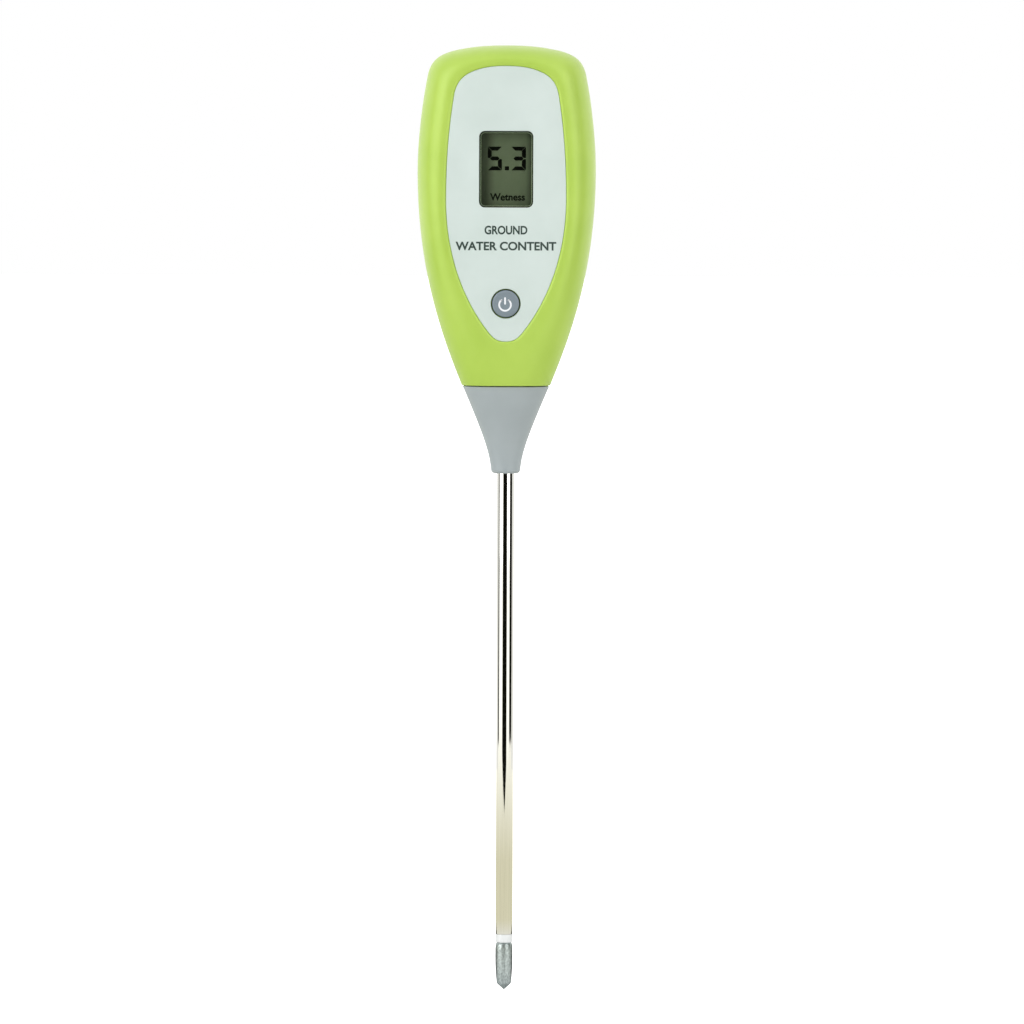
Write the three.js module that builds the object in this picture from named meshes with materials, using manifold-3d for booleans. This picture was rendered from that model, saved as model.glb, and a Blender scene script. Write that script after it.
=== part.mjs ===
// A handheld soil moisture meter: a two-part casing with a display, a button and two cells,
// a nose cone, and a steel probe whose insulated tip is the second electrode.
// Millimetres. +Z is up the probe, the display faces -Y, and the probe's point is the origin.
import * as THREE from "three";
import { mergeVertices } from "three/addons/utils/BufferGeometryUtils.js";
import Module from "manifold-3d";

const wasm = await Module();
wasm.setup();

// ---- Driving dimensions ----
const GAP = 0.3; // between pieces that rest on each other
const FIT = 0.1; // round a piece held in a bore

// heights up the probe
const TIP_SHOULDER = 2.1;
const TIP_TOP = 15.4;
const RING_TOP = 18.1;
const CONE_BOTTOM = 167.6;
const CONE_TOP = 195.7;
const SEAM = 196.0; // the casing's lower end
const COLLAR_TOP = 199.3; // top of the end wall that holds the cone
const FLANGE_TOP = 202.6;
const TUBE_TOP = 204.4;
const SLEEVE_TOP = 205.4;
const CORE_TOP = 208;
const CROWN = 305.2;

// probe radii
const TUBE_RADIUS = 2.75;
const TUBE_BORE = 2.0;
const SLEEVE_RADIUS = 1.5;
const SLEEVE_BORE = 0.95;
const CORE_RADIUS = 0.8;
const SEAL_SEAT = 4.25; // the pocket in the cone's flange
const SEAL_WIRE = 0.6;

// casing: depths from the parting plane at y = 0
const FRONT_DEPTH = 13.7;
const REAR_DEPTH = 14.0;
const WALL = 2.0;
const LIP = 0.8; // the casing's rim round the face plate
const PLATE_FIT = 0.2; // between the face plate's edge and its recess
const RIM_STEPS = 5; // facets from the parting plane to the flat front or back

// front: the face plate in its recess, and the wall behind it
const PLATE_FRONT = -13.3;
const PLATE_BACK = -11.9;
const SEAT_FRONT = -11.6;
const SEAT_BACK = -10.1;

// display
const WINDOW_Z = 265.3;
const WINDOW_WIDTH = 17.3;
const WINDOW_HEIGHT = 24.4;
const WINDOW_CORNER = 1.85;
const LENS_BORDER = 1.3; // of the clear window hidden by the face plate
const LENS_BACK = -10.4;
const LCD_FRONT = -9.8;
const LCD_LAYER = 1.0; // thickness of each of its two glasses
const LCD_X = 11; // half width
const LCD_Z = 15.5; // half height of the front glass
const REAR_GLASS_Z = 12.5; // half height of the rear glass
const BOARD_FRONT = -3.6;
const BOARD_BACK = -2.0;
const BOARD_X = 13.5; // half width
const BOARD_BOTTOM = 216.5;
const BOARD_TOP = 287.8;

// button
const BUTTON_Z = 222.4;
const BUTTON_RADIUS = 4.3;
const BUTTON_HOLE = 4.75;
const BUTTON_FRONT = -13.7;
const BUTTON_BEVEL = 0.5;
const FLANGE_BACK = -8.9; // of the button's flange
const STEM_RADIUS = 1.6;
const STEM_END = -8.2;
const SWITCH_TOP = -6.9;
const PLUNGER_TOP = -7.9;
const PLUNGER_END = -5.6;

// battery compartment
const CELL_RADIUS = 5.25;
const CELL_LENGTH = 44.5;
const CELL_X = 5.6;
const CELL_Y = 6.6;
const CELL_BOTTOM = 236.4;
const TUB_X = 11.3; // inner half width
const TUB_FLOOR = 1.0; // inner face
const TUB_BOTTOM = 231;
const TUB_TOP = 284;
const TUB_SIDE = 1.5; // its walls, floor and ends
const TUB_BASE = 1.2;
const TUB_END = 1.8;
const DOOR_X = 13.0; // half width
const DOOR_BOTTOM = 230.0;
const DOOR_TOP = 285.0;
const DOOR_INNER = 12.2;
const DOOR_LEDGE = 11.9; // the casing's step under the door's edges
const DOOR_FIT = 0.2; // round the door
const HINGE_Y = 13.1; // the axis about which the door swings
const HINGE_Z = 230.9;
const HOOK_X = 9.6;
const HOOK_HALF = 1.5;
const HOOK_BACK = 11.0;
const TAIL_SLOT = 1.4; // half width of the slots for the contacts' tails

// fasteners, as [x, z]
const CASE_SCREWS = [[-10.5, 291.2], [10.5, 291.2], [0, 213.2]];
const BOARD_SCREWS = [[-10.3, 285.5], [10.3, 285.5], [-10.3, 233], [10.3, 233]];
const CASE_SCREW_SEAT = 4.2;

// radii of the posts and holes that the screws use
const CASE_POST = 2.9; // on the front cover
const CASE_PILOT = 1.3;
const CASE_SLEEVE = 3.5; // on the rear cover, round the counterbore
const CASE_COUNTERBORE = 2.6;
const CASE_CLEARANCE = 1.35;
const BOARD_POST = 2.2;
const BOARD_PILOT = 0.95;
const BOARD_CLEARANCE = 1.1;

// a span that is longer than the casing every way
const FAR_X = 40;
const FAR_Y = 20;
const FAR_Z = 310;

// ---- Materials ----
const finish = (color, roughness, metalness = 0) =>
  new THREE.MeshStandardMaterial({ color, roughness, metalness });
const GREEN = finish(0xb7d55b, 0.42);
const PLATE = finish(0xdae5e1, 0.35);
const GREY = finish(0xa8b4b4, 0.5);
const BUTTON_GREY = finish(0x7f8c93, 0.45);
const CLEAR = finish(0xcfd8cf, 0.05);
const LCD = finish(0x566349, 0.2);
const BLACK = finish(0x1d1f20, 0.55);
const RUBBER = finish(0x2b2c2e, 0.8);
const BOARD = finish(0x2f6b45, 0.45);
const WHITE = finish(0xeff3f2, 0.4);
const CHROME = finish(0xd9d9d6, 0.08, 1);
const TIP_METAL = finish(0xa2a8a6, 0.4, 1);
const BRASS = finish(0xb08d4a, 0.3, 1);
const STEEL = finish(0xb9bcbd, 0.3, 1);
const RED_WIRE = finish(0xb3261e, 0.5);
const CELL_WRAP = finish(0x3d5f8a, 0.35);

// ---- Solids ----
const v2 = (x, y) => new THREE.Vector2(x, y);
const v3 = (x, y, z) => new THREE.Vector3(x, y, z);

function solidOf(geometry) {
  const plain = geometry.clone();
  plain.deleteAttribute("normal");
  plain.deleteAttribute("uv");
  const merged = mergeVertices(plain);
  const vertProperties = merged.attributes.position.array;
  const triVerts = new Uint32Array(merged.index.array);
  return new wasm.Manifold(new wasm.Mesh({ numProp: 3, vertProperties, triVerts }));
}

function geometryOf(solid) {
  const { vertProperties, triVerts } = solid.getMesh();
  const geometry = new THREE.BufferGeometry();
  geometry.setAttribute("position", new THREE.BufferAttribute(vertProperties, 3));
  geometry.setIndex(new THREE.BufferAttribute(triVerts, 1));
  const faceted = geometry.toNonIndexed();
  faceted.computeVertexNormals();
  return faceted;
}

// A block between two corners.
function block(x0, x1, y0, y1, z0, z1) {
  const geometry = new THREE.BoxGeometry(x1 - x0, y1 - y0, z1 - z0);
  return solidOf(geometry.translate((x0 + x1) / 2, (y0 + y1) / 2, (z0 + z1) / 2));
}

// A block centred on x = 0.
const beam = (halfWidth, y0, y1, z0, z1) => block(-halfWidth, halfWidth, y0, y1, z0, z1);

// A round rod along Y.
function rodY(radius, y0, y1, x = 0, z = 0, sides = 20) {
  const geometry = new THREE.CylinderGeometry(radius, radius, y1 - y0, sides);
  return solidOf(geometry.translate(x, (y0 + y1) / 2, z));
}

// A round rod along Z on the probe's axis.
function rodZ(radius, z0, z1, sides = 24) {
  const geometry = new THREE.CylinderGeometry(radius, radius, z1 - z0, sides).rotateX(Math.PI / 2);
  return solidOf(geometry.translate(0, 0, (z0 + z1) / 2));
}

// A turned piece from [radius, height] pairs, turned about Z.
function turned(profile, sides = 24) {
  const points = profile.map(([radius, height]) => v2(radius, height));
  return solidOf(new THREE.LatheGeometry(points, sides).rotateX(Math.PI / 2));
}

// A flat shape drawn in x and z, thickened from y0 to y1.
function slab(shape, y0, y1, curveSegments = 6) {
  const options = { depth: y1 - y0, bevelEnabled: false, curveSegments };
  return solidOf(new THREE.ExtrudeGeometry(shape, options).rotateX(Math.PI / 2).translate(0, y1, 0));
}

// A skin over rings of equal length, each counterclockwise about the way they advance.
function loft(rings) {
  const count = rings[0].length;
  const points = rings.flat();
  const index = [];
  for (let ring = 0; ring + 1 < rings.length; ring++) {
    for (let j = 0; j < count; j++) {
      const a = ring * count + j;
      const b = ring * count + ((j + 1) % count);
      index.push(a, b, b + count, a, b + count, a + count);
    }
  }
  const middle = (ring) => ring.reduce((sum, p) => sum.add(p), v3(0, 0, 0)).divideScalar(count);
  const first = points.length;
  const last = (rings.length - 1) * count;
  points.push(middle(rings[0]), middle(rings.at(-1)));
  for (let j = 0; j < count; j++) {
    const next = (j + 1) % count;
    index.push(first, next, j, first + 1, last + j, last + next);
  }
  const geometry = new THREE.BufferGeometry().setFromPoints(points);
  geometry.setIndex(index);
  return solidOf(geometry);
}

// ---- The head's form ----
const curve = (a, b, c, d) => new THREE.CubicBezierCurve(v2(...a), v2(...b), v2(...c), v2(...d));

// Right half of the silhouette, from below the seam, where the form would close, to the crown.
const HEAD_SIDE = [
  [curve([0, 186], [6.5, 186], [11.2, 189.6], [14.1, SEAM]), 4],
  [curve([14.1, SEAM], [20.6, 212], [28.6, 233.7], [28.6, 265]), 7],
  [curve([28.6, 265], [28.6, 273.2], [27.5, 285], [25.5, 295.5]), 3],
  [curve([25.5, 295.5], [24.4, 301], [21, 302.9], [14, 304.1]), 5],
  [curve([14, 304.1], [9.5, 305], [4.7, CROWN], [0, CROWN]), 2],
];
// Right half of the face plate, with a stretch for each stretch of the silhouette.
const PLATE_SIDE = [
  [curve([0, 210.3], [3, 210.3], [4.1, 211.4], [6.2, 214.2]), 4],
  [curve([6.2, 214.2], [13.1, 223.3], [19.2, 237.5], [19.2, 255.9]), 7],
  [curve([19.2, 255.9], [19.2, 270.6], [18, 280.7], [16.7, 288.8]), 3],
  [curve([16.7, 288.8], [15.9, 293.8], [13, 295.9], [8.5, 297.2]), 5],
  [curve([8.5, 297.2], [5.9, 298], [2.8, 298.2], [0, 298.2]), 2],
];

// A whole outline from its right half, moved inwards by inset.
function outline(side, inset = 0) {
  const right = [];
  side.forEach(([stretch, steps], k) => {
    for (let i = k ? 1 : 0; i <= steps; i++) {
      const point = stretch.getPoint(i / steps);
      const along = stretch.getTangent(i / steps);
      right.push(v2(point.x - along.y * inset, point.y + along.x * inset));
    }
  });
  right[0].x = 0;
  right.at(-1).x = 0;
  const left = right.slice(1, -1).reverse();
  return [...right, ...left.map((p) => v2(-p.x, p.y))];
}

// The head, all its walls moved inwards by inset: elliptic rims run from the silhouette at the
// parting plane to a flat front and a flat back a little larger than the face plate.
function headForm(inset) {
  const outer = outline(HEAD_SIDE, inset);
  const flat = outline(PLATE_SIDE, inset * 0.5 - LIP);
  const rings = [];
  for (let step = RIM_STEPS; step >= -RIM_STEPS; step--) {
    const turn = (step / RIM_STEPS) * (Math.PI / 2);
    const depth = (step > 0 ? REAR_DEPTH : FRONT_DEPTH) - inset;
    rings.push(outer.map((rim, j) => {
      const reach = Math.cos(turn);
      const x = flat[j].x + (rim.x - flat[j].x) * reach;
      const z = flat[j].y + (rim.y - flat[j].y) * reach;
      return v3(x, depth * Math.sin(turn), z);
    }));
  }
  return loft(rings);
}

// ---- The nose cone's form ----
const CONE_ROUND = 32; // points round the cone

// Points of an oval, squarer than an ellipse where power is over 2.
function oval(halfX, halfY, z, power = 2) {
  return Array.from({ length: CONE_ROUND }, (_, j) => {
    const turn = (j / CONE_ROUND) * 2 * Math.PI;
    const part = (value) => Math.sign(value) * Math.abs(value) ** (2 / power);
    return v3(halfX * part(Math.cos(turn)), halfY * part(Math.sin(turn)), z);
  });
}

const head = headForm(0);
const cavity = headForm(WALL).intersect(beam(FAR_X, -FAR_Y, FAR_Y, COLLAR_TOP, FAR_Z));
const NECK = { x: 9.0, y: 7.0 };
const neckHole = loft([SEAM - 1, COLLAR_TOP + 1].map((z) => oval(NECK.x + GAP, NECK.y + GAP, z)));

function plateShape(inset) {
  return new THREE.Shape(outline(PLATE_SIDE, inset));
}

function windowPath(grow) {
  const halfWidth = WINDOW_WIDTH / 2 + grow;
  const halfHeight = WINDOW_HEIGHT / 2 + grow;
  const corner = WINDOW_CORNER + grow;
  const [low, high] = [WINDOW_Z - halfHeight, WINDOW_Z + halfHeight];
  const path = new THREE.Shape();
  path.moveTo(halfWidth, low + corner);
  path.lineTo(halfWidth, high - corner);
  path.absarc(halfWidth - corner, high - corner, corner, 0, Math.PI / 2);
  path.lineTo(corner - halfWidth, high);
  path.absarc(corner - halfWidth, high - corner, corner, Math.PI / 2, Math.PI);
  path.lineTo(-halfWidth, low + corner);
  path.absarc(corner - halfWidth, low + corner, corner, Math.PI, 1.5 * Math.PI);
  path.lineTo(halfWidth - corner, low);
  path.absarc(halfWidth - corner, low + corner, corner, 1.5 * Math.PI, 2 * Math.PI);
  return path;
}

// ---- Casing ----
// A screw's post inside the front cover, from its front wall to end.
const post = (radius, end, [x, z]) => rodY(radius, -FRONT_DEPTH + 1, end, x, z).intersect(head);

function frontCover() {
  const half = beam(FAR_X, -FAR_Y, -GAP / 2, SEAM, FAR_Z);
  const seat = slab(plateShape(-LIP - 1), -FRONT_DEPTH + 1, SEAT_BACK).intersect(head);
  let cover = head.intersect(half).subtract(cavity).add(seat);
  for (const at of CASE_SCREWS) cover = cover.add(post(CASE_POST, -GAP / 2, at));
  for (const at of BOARD_SCREWS) cover = cover.add(post(BOARD_POST, BOARD_FRONT - GAP, at));
  for (const [x, z] of CASE_SCREWS) cover = cover.subtract(rodY(CASE_PILOT, -7.5, 1, x, z, 16));
  for (const [x, z] of BOARD_SCREWS) cover = cover.subtract(rodY(BOARD_PILOT, -9, 0, x, z, 12));
  return cover
    .subtract(slab(plateShape(-PLATE_FIT), -FAR_Y, SEAT_FRONT))
    .subtract(slab(windowPath(LENS_BORDER + GAP), -FRONT_DEPTH, SEAT_BACK + 1))
    .subtract(rodY(BUTTON_HOLE + 0.2, -FRONT_DEPTH, SEAT_BACK + 1, 0, BUTTON_Z, 28))
    .subtract(neckHole);
}

function rearCover() {
  const half = beam(FAR_X, GAP / 2, FAR_Y, SEAM, FAR_Z);
  const inner = REAR_DEPTH - WALL + 0.5; // well into the cover's flat back
  const tub = beam(TUB_X + TUB_SIDE, TUB_FLOOR - TUB_BASE, inner, TUB_BOTTOM - TUB_END, TUB_TOP + TUB_END);
  const ledge = beam(DOOR_X + 1.5, DOOR_LEDGE - 1.8, inner, DOOR_BOTTOM - 2, DOOR_TOP + 2);
  let cover = head.intersect(half).subtract(cavity).add(tub).add(ledge);
  for (const [x, z] of CASE_SCREWS) {
    cover = cover.add(rodY(CASE_SLEEVE, GAP / 2, FAR_Y, x, z).intersect(head));
    cover = cover.subtract(rodY(CASE_CLEARANCE, -1, FAR_Y, x, z, 16));
    cover = cover.subtract(rodY(CASE_COUNTERBORE, CASE_SCREW_SEAT, FAR_Y, x, z));
  }
  const [slotHalf, slotFront] = [1.8, 7.5]; // room for the door's hooks as they swing
  for (const x of [-HOOK_X, HOOK_X]) {
    cover = cover.subtract(block(x - slotHalf, x + slotHalf, slotFront, 12, 226.8, TUB_BOTTOM + 1));
  }
  for (const x of [-CELL_X, CELL_X]) {
    const [left, right] = [x - TAIL_SLOT, x + TAIL_SLOT];
    cover = cover.subtract(block(left, right, -1, TUB_FLOOR + 1, TUB_BOTTOM, TUB_BOTTOM + 1.2));
  }
  const fingerNotch = new THREE.SphereGeometry(9, 20, 12).scale(1, 1, 0.55).translate(0, 21.6, DOOR_TOP + 2.4);
  const opening = DOOR_X + DOOR_FIT;
  return cover
    .subtract(beam(TUB_X, TUB_FLOOR, FAR_Y, TUB_BOTTOM, TUB_TOP))
    .subtract(beam(opening, DOOR_LEDGE, FAR_Y, DOOR_BOTTOM - DOOR_FIT, DOOR_TOP + DOOR_FIT))
    .subtract(solidOf(fingerNotch))
    .subtract(neckHole);
}

// A flat door with a round lower edge about its hinge line, two hooks and a latch ridge.
function batteryDoor() {
  const edge = REAR_DEPTH - HINGE_Y;
  const rounded = new THREE.CylinderGeometry(edge, edge, 2 * DOOR_X, 16).rotateZ(Math.PI / 2);
  let door = beam(DOOR_X, DOOR_INNER, REAR_DEPTH, HINGE_Z, DOOR_TOP);
  door = door.add(solidOf(rounded.translate(0, HINGE_Y, HINGE_Z)));
  for (const x of [-HOOK_X, HOOK_X]) {
    const [left, right] = [x - HOOK_HALF, x + HOOK_HALF];
    door = door.add(block(left, right, HOOK_BACK, DOOR_INNER + 0.3, 230.6, 232.2));
    door = door.add(block(left, right, HOOK_BACK, HOOK_BACK + 0.7, 228.6, 231));
  }
  return door.add(beam(4, 11.3, DOOR_INNER + 0.3, TUB_TOP - 1.1, TUB_TOP - 0.4));
}

function facePlate() {
  const shape = plateShape(0);
  shape.holes.push(windowPath(0));
  const button = new THREE.Path();
  button.absarc(0, BUTTON_Z, BUTTON_HOLE, 0, 2 * Math.PI);
  shape.holes.push(button);
  return slab(shape, PLATE_FRONT, PLATE_BACK, 8);
}

function noseCone() {
  const foot = CONE_BOTTOM + 1; // above its rounded edge
  const across = curve([4.45, foot], [5.2, 175], [7.2, 180.2], [13.6, CONE_TOP]);
  const through = curve([4.45, foot], [5, 175], [6.2, 180.2], [10.5, CONE_TOP]);
  const rings = [oval(3.5, 3.5, CONE_BOTTOM), oval(4.1, 4.1, CONE_BOTTOM + 0.3)];
  for (let i = 0; i <= 7; i++) {
    const [x, y] = [across.getPoint(i / 7), through.getPoint(i / 7)];
    rings.push(oval(x.x, y.x, x.y, 2 + (0.25 * i) / 7));
  }
  const neck = loft([oval(NECK.x, NECK.y, CONE_TOP - 1), oval(NECK.x, NECK.y, COLLAR_TOP + 1)]);
  const flange = loft([oval(11.6, 8.8, COLLAR_TOP + GAP), oval(11.6, 8.8, FLANGE_TOP)]);
  return loft(rings)
    .add(neck)
    .add(flange)
    .subtract(rodZ(TUBE_RADIUS + FIT, CONE_BOTTOM - 1, FAR_Z))
    .subtract(rodZ(SEAL_SEAT, FLANGE_TOP - 1.8, FAR_Z));
}

// A self-tapping pan-head screw along +Y from its head's underside at y = 0, driven from the rear.
function screw(shank, headRadius, headHeight, length) {
  const profile = [
    [0, -length],
    [shank * 0.35, -length],
    [shank, -length + shank * 1.6],
    [shank, 0],
    [headRadius, 0],
    [headRadius, headHeight * 0.55],
    [headRadius * 0.62, headHeight],
    [0, headHeight],
  ];
  const points = profile.map(([radius, height]) => v2(radius, height));
  const slot = [headRadius * 0.6, headRadius * 0.16];
  return solidOf(new THREE.LatheGeometry(points, 12))
    .subtract(block(-slot[0], slot[0], headHeight * 0.4, headHeight + 1, -slot[1], slot[1]))
    .subtract(block(-slot[1], slot[1], headHeight * 0.4, headHeight + 1, -slot[0], slot[0]));
}

// ---- Display, board and button ----
const displayWindow = () => slab(windowPath(LENS_BORDER), PLATE_BACK + GAP, LENS_BACK);

// Two glasses, the rear one shorter, so that the front one's edges meet the rubber contacts.
function lcdPanel() {
  const joint = LCD_FRONT + LCD_LAYER;
  const front = beam(LCD_X, LCD_FRONT, joint, WINDOW_Z - LCD_Z, WINDOW_Z + LCD_Z);
  const rearGlass = [WINDOW_Z - REAR_GLASS_Z, WINDOW_Z + REAR_GLASS_Z];
  return front.add(beam(LCD_X, joint - 0.1, joint + LCD_LAYER, ...rearGlass));
}

function lcdHolder() {
  const back = BOARD_FRONT - GAP;
  const ledgeFront = LCD_FRONT + 2 * LCD_LAYER + GAP;
  const [insideX, insideZ] = [LCD_X + GAP, LCD_Z + GAP];
  const inside = beam(insideX, -FAR_Y, 0, WINDOW_Z - insideZ, WINDOW_Z + insideZ);
  const ledges = beam(insideX + 0.7, ledgeFront, back, WINDOW_Z - 12, WINDOW_Z + 12);
  return beam(insideX + 1.7, SEAT_BACK + GAP, back, WINDOW_Z - insideZ - 1.8, WINDOW_Z + insideZ + 1.8)
    .subtract(inside)
    .add(ledges.subtract(beam(9.6, -FAR_Y, 0, WINDOW_Z - 13, WINDOW_Z + 13)));
}

const zebraStrip = () => beam(9.2, LCD_FRONT + LCD_LAYER + GAP, BOARD_FRONT - GAP, -1.2, 1.2);

function circuitBoard() {
  let board = beam(BOARD_X, BOARD_FRONT, BOARD_BACK, BOARD_BOTTOM, BOARD_TOP);
  for (const [x, z] of BOARD_SCREWS) board = board.subtract(rodY(BOARD_CLEARANCE, -5, 0, x, z, 16));
  return board;
}

// The round cap, its wider flange behind the casing's wall, and the stem that meets the switch.
function powerButton() {
  const flange = BUTTON_RADIUS + 1.3;
  const flangeFront = -SEAT_BACK - GAP;
  const profile = [
    [0, -STEM_END],
    [STEM_RADIUS, -STEM_END],
    [STEM_RADIUS, -FLANGE_BACK],
    [flange, -FLANGE_BACK],
    [flange, flangeFront],
    [BUTTON_RADIUS, flangeFront],
    [BUTTON_RADIUS, -BUTTON_FRONT - BUTTON_BEVEL],
    [BUTTON_RADIUS - BUTTON_BEVEL, -BUTTON_FRONT],
    [0, -BUTTON_FRONT],
  ];
  return turned(profile, 28);
}

const switchBase = () =>
  beam(3, SWITCH_TOP, BOARD_FRONT - GAP, -3, 3).subtract(rodY(1.9, -8, -4.5, 0, 0, 16));

// ---- Battery compartment ----
function batteryCell() {
  const body = CELL_LENGTH - 1;
  const terminal = 1.9;
  const bevel = 0.6;
  return turned([
    [0, 0],
    [CELL_RADIUS - bevel, 0],
    [CELL_RADIUS, 0.4],
    [CELL_RADIUS, body - 0.5],
    [CELL_RADIUS - bevel, body],
    [terminal, body],
    [terminal, CELL_LENGTH],
    [0, CELL_LENGTH],
  ]);
}

const SPRING = { turns: 3, foot: 3.4, top: 2.2, height: 3.6, wire: 0.3 }; // foot and top are radii

class ConeSpiral extends THREE.Curve {
  getPoint(t) {
    const turn = t * SPRING.turns * 2 * Math.PI;
    const radius = SPRING.foot + (SPRING.top - SPRING.foot) * t;
    return v3(radius * Math.cos(turn), radius * Math.sin(turn), SPRING.height * t);
  }
}

// A round wire along a path; a full circle is drawn with twice halfSides points.
function wire(path, radius, steps, halfSides) {
  const circle = new THREE.Shape();
  circle.absarc(0, 0, radius, 0, 2 * Math.PI);
  const options = { steps, extrudePath: path, bevelEnabled: false, curveSegments: halfSides };
  return solidOf(new THREE.ExtrudeGeometry(circle, options));
}

const batterySpring = () => wire(new ConeSpiral(), SPRING.wire, 40, 3);

// A plate behind one cell's end, with a tail through the compartment's floor.
const contactPlate = () => beam(4, 3.2, 8.6, 0, 0.4).add(beam(1, -0.7, 3.4, 0, 0.4));

const contactBump = (z0, z1) => rodZ(1.5, z0, z1, 14).translate(0, CELL_Y, 0);

const contactPositive = () => contactPlate().add(contactBump(0.2, 2.5));

// Joins the two cells at the top: a bump for one, and a seat for the other's spring.
const contactBridge = () => beam(10.6, 3.2, 10, 0, 0.4).add(contactBump(-2.1, 0.2).translate(CELL_X, 0, 0));

// ---- Probe ----
const probeTube = () =>
  rodZ(TUBE_RADIUS, RING_TOP + FIT, TUBE_TOP).subtract(rodZ(TUBE_BORE, 0, TUBE_TOP + 1, 16));

const insulatorRing = () =>
  rodZ(TUBE_RADIUS, TIP_TOP + FIT, RING_TOP)
    .add(rodZ(TUBE_BORE - FIT, RING_TOP - 0.2, RING_TOP + 8, 16))
    .subtract(rodZ(SLEEVE_BORE, 0, 40, 16));

const probeTip = () =>
  turned([
    [0, 0],
    [0.25, 0.1],
    [2.3, TIP_SHOULDER],
    [2.5, 4.5],
    [2.7, 7.2],
    [2.78, 10.3],
    [2.76, 13.0],
    [2.68, TIP_TOP],
    [0, TIP_TOP],
  ]).subtract(rodZ(SLEEVE_BORE, TIP_TOP - 7, TIP_TOP + 1, 12));

const coreRod = () => rodZ(CORE_RADIUS, TIP_TOP - 6.8, CORE_TOP, 12);

const coreSleeve = () =>
  rodZ(SLEEVE_RADIUS, RING_TOP + 8.3, SLEEVE_TOP, 16).subtract(rodZ(SLEEVE_BORE, 0, 220, 12));

// A washer round the tube, with a tab for its lead.
function tubeTerminal() {
  const [low, high] = [FLANGE_TOP + 0.4, FLANGE_TOP + 1.2];
  return rodZ(4, low, high, 20)
    .add(block(3, 6.2, -1, 1, low, high))
    .subtract(rodZ(TUBE_RADIUS + FIT, SEAM, FAR_Z));
}

// A six-sided ferrule on the core rod.
const coreTerminal = () =>
  rodZ(2.2, SLEEVE_TOP + GAP, SLEEVE_TOP + 1.9, 6).subtract(rodZ(SLEEVE_BORE, FLANGE_TOP, FAR_Z, 12));

const probeSeal = () => solidOf(new THREE.TorusGeometry(SEAL_SEAT - SEAL_WIRE - 0.15, SEAL_WIRE, 8, 24));

// ---- Leads, as points along each ----
const LEADS = {
  battery_lead_negative: [[5.6, -1.1, 230.6], [6.6, -0.7, 227.5], [8.6, 1, 225], [10.8, 0.9, 222.5],
    [11.4, -1.1, 220]],
  battery_lead_positive: [[-5.6, -1.1, 230.6], [-6.6, -0.7, 227.5], [-8.6, 1, 225], [-10.8, 0.9, 222.5],
    [-11.4, -1.1, 220]],
  tube_lead: [[5.3, 0.2, 204.6], [7.6, 1.4, 208], [8.8, 1.6, 213], [7.6, -1.1, 218]],
  core_lead: [[-2.9, 0.6, 206.6], [-5.6, 1.8, 208.2], [-8.4, 1.6, 213], [-7.6, -1.1, 218]],
};

const BLACK_LEADS = ["battery_lead_negative", "tube_lead"];
const LEAD_RADIUS = 0.45;

// ---- Assembly ----
const meter = new THREE.Group();

function place(group, name, solid, material, x = 0, y = 0, z = 0) {
  const mesh = new THREE.Mesh(geometryOf(solid), material.clone());
  mesh.name = name;
  mesh.position.set(x, y, z);
  group.add(mesh);
  return mesh;
}

function section() {
  const group = new THREE.Group();
  meter.add(group);
  return group;
}

const casing = section();
place(casing, "front_cover", frontCover(), GREEN);
place(casing, "rear_cover", rearCover(), GREEN);
place(casing, "battery_door", batteryDoor(), GREEN);
place(casing, "face_plate", facePlate(), PLATE);
place(casing, "nose_cone", noseCone(), GREY);
CASE_SCREWS.forEach(([x, z], i) => {
  place(casing, `case_screw_${i + 1}`, screw(1.1, 2.2, 1.6, 10.4), STEEL, x, CASE_SCREW_SEAT + GAP, z);
});

const display = section();
place(display, "display_window", displayWindow(), CLEAR);
place(display, "lcd_panel", lcdPanel(), LCD);
place(display, "lcd_holder", lcdHolder(), WHITE);
place(display, "zebra_strip_upper", zebraStrip(), RUBBER, 0, 0, WINDOW_Z + 14.0);
place(display, "zebra_strip_lower", zebraStrip(), RUBBER, 0, 0, WINDOW_Z - 14.0);

const electronics = section();
const behindBoard = BOARD_BACK + GAP;
const aheadOfBoard = BOARD_FRONT - GAP;
place(electronics, "circuit_board", circuitBoard(), BOARD);
place(electronics, "meter_chip", beam(4.5, 0, 1.2, -4, 4), BLACK, 0, behindBoard, 220.5);
place(electronics, "range_resistor", beam(1.6, -0.8, 0, -0.8, 0.8), BLACK, 6.5, aheadOfBoard, 241);
place(electronics, "filter_capacitor_1", beam(1, -1.1, 0, -0.7, 0.7), BRASS, -2, aheadOfBoard, 241);
place(electronics, "filter_capacitor_2", beam(1, -1.1, 0, -0.7, 0.7), BRASS, -6.5, aheadOfBoard, 241);
place(electronics, "switch_base", switchBase(), BLACK, 0, 0, BUTTON_Z);
const switchPlunger = rodY(STEM_RADIUS, PLUNGER_TOP, PLUNGER_END, 0, 0, 16);
place(electronics, "switch_plunger", switchPlunger, WHITE, 0, 0, BUTTON_Z);
BOARD_SCREWS.forEach(([x, z], i) => {
  place(electronics, `board_screw_${i + 1}`, screw(0.8, 1.8, 0.9, 6), STEEL, x, behindBoard, z);
});

const button = section();
button.position.set(0, 0, BUTTON_Z);
button.rotation.x = Math.PI / 2; // the button is turned about Z, and points along -Y
place(button, "power_button", powerButton(), BUTTON_GREY);

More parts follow.
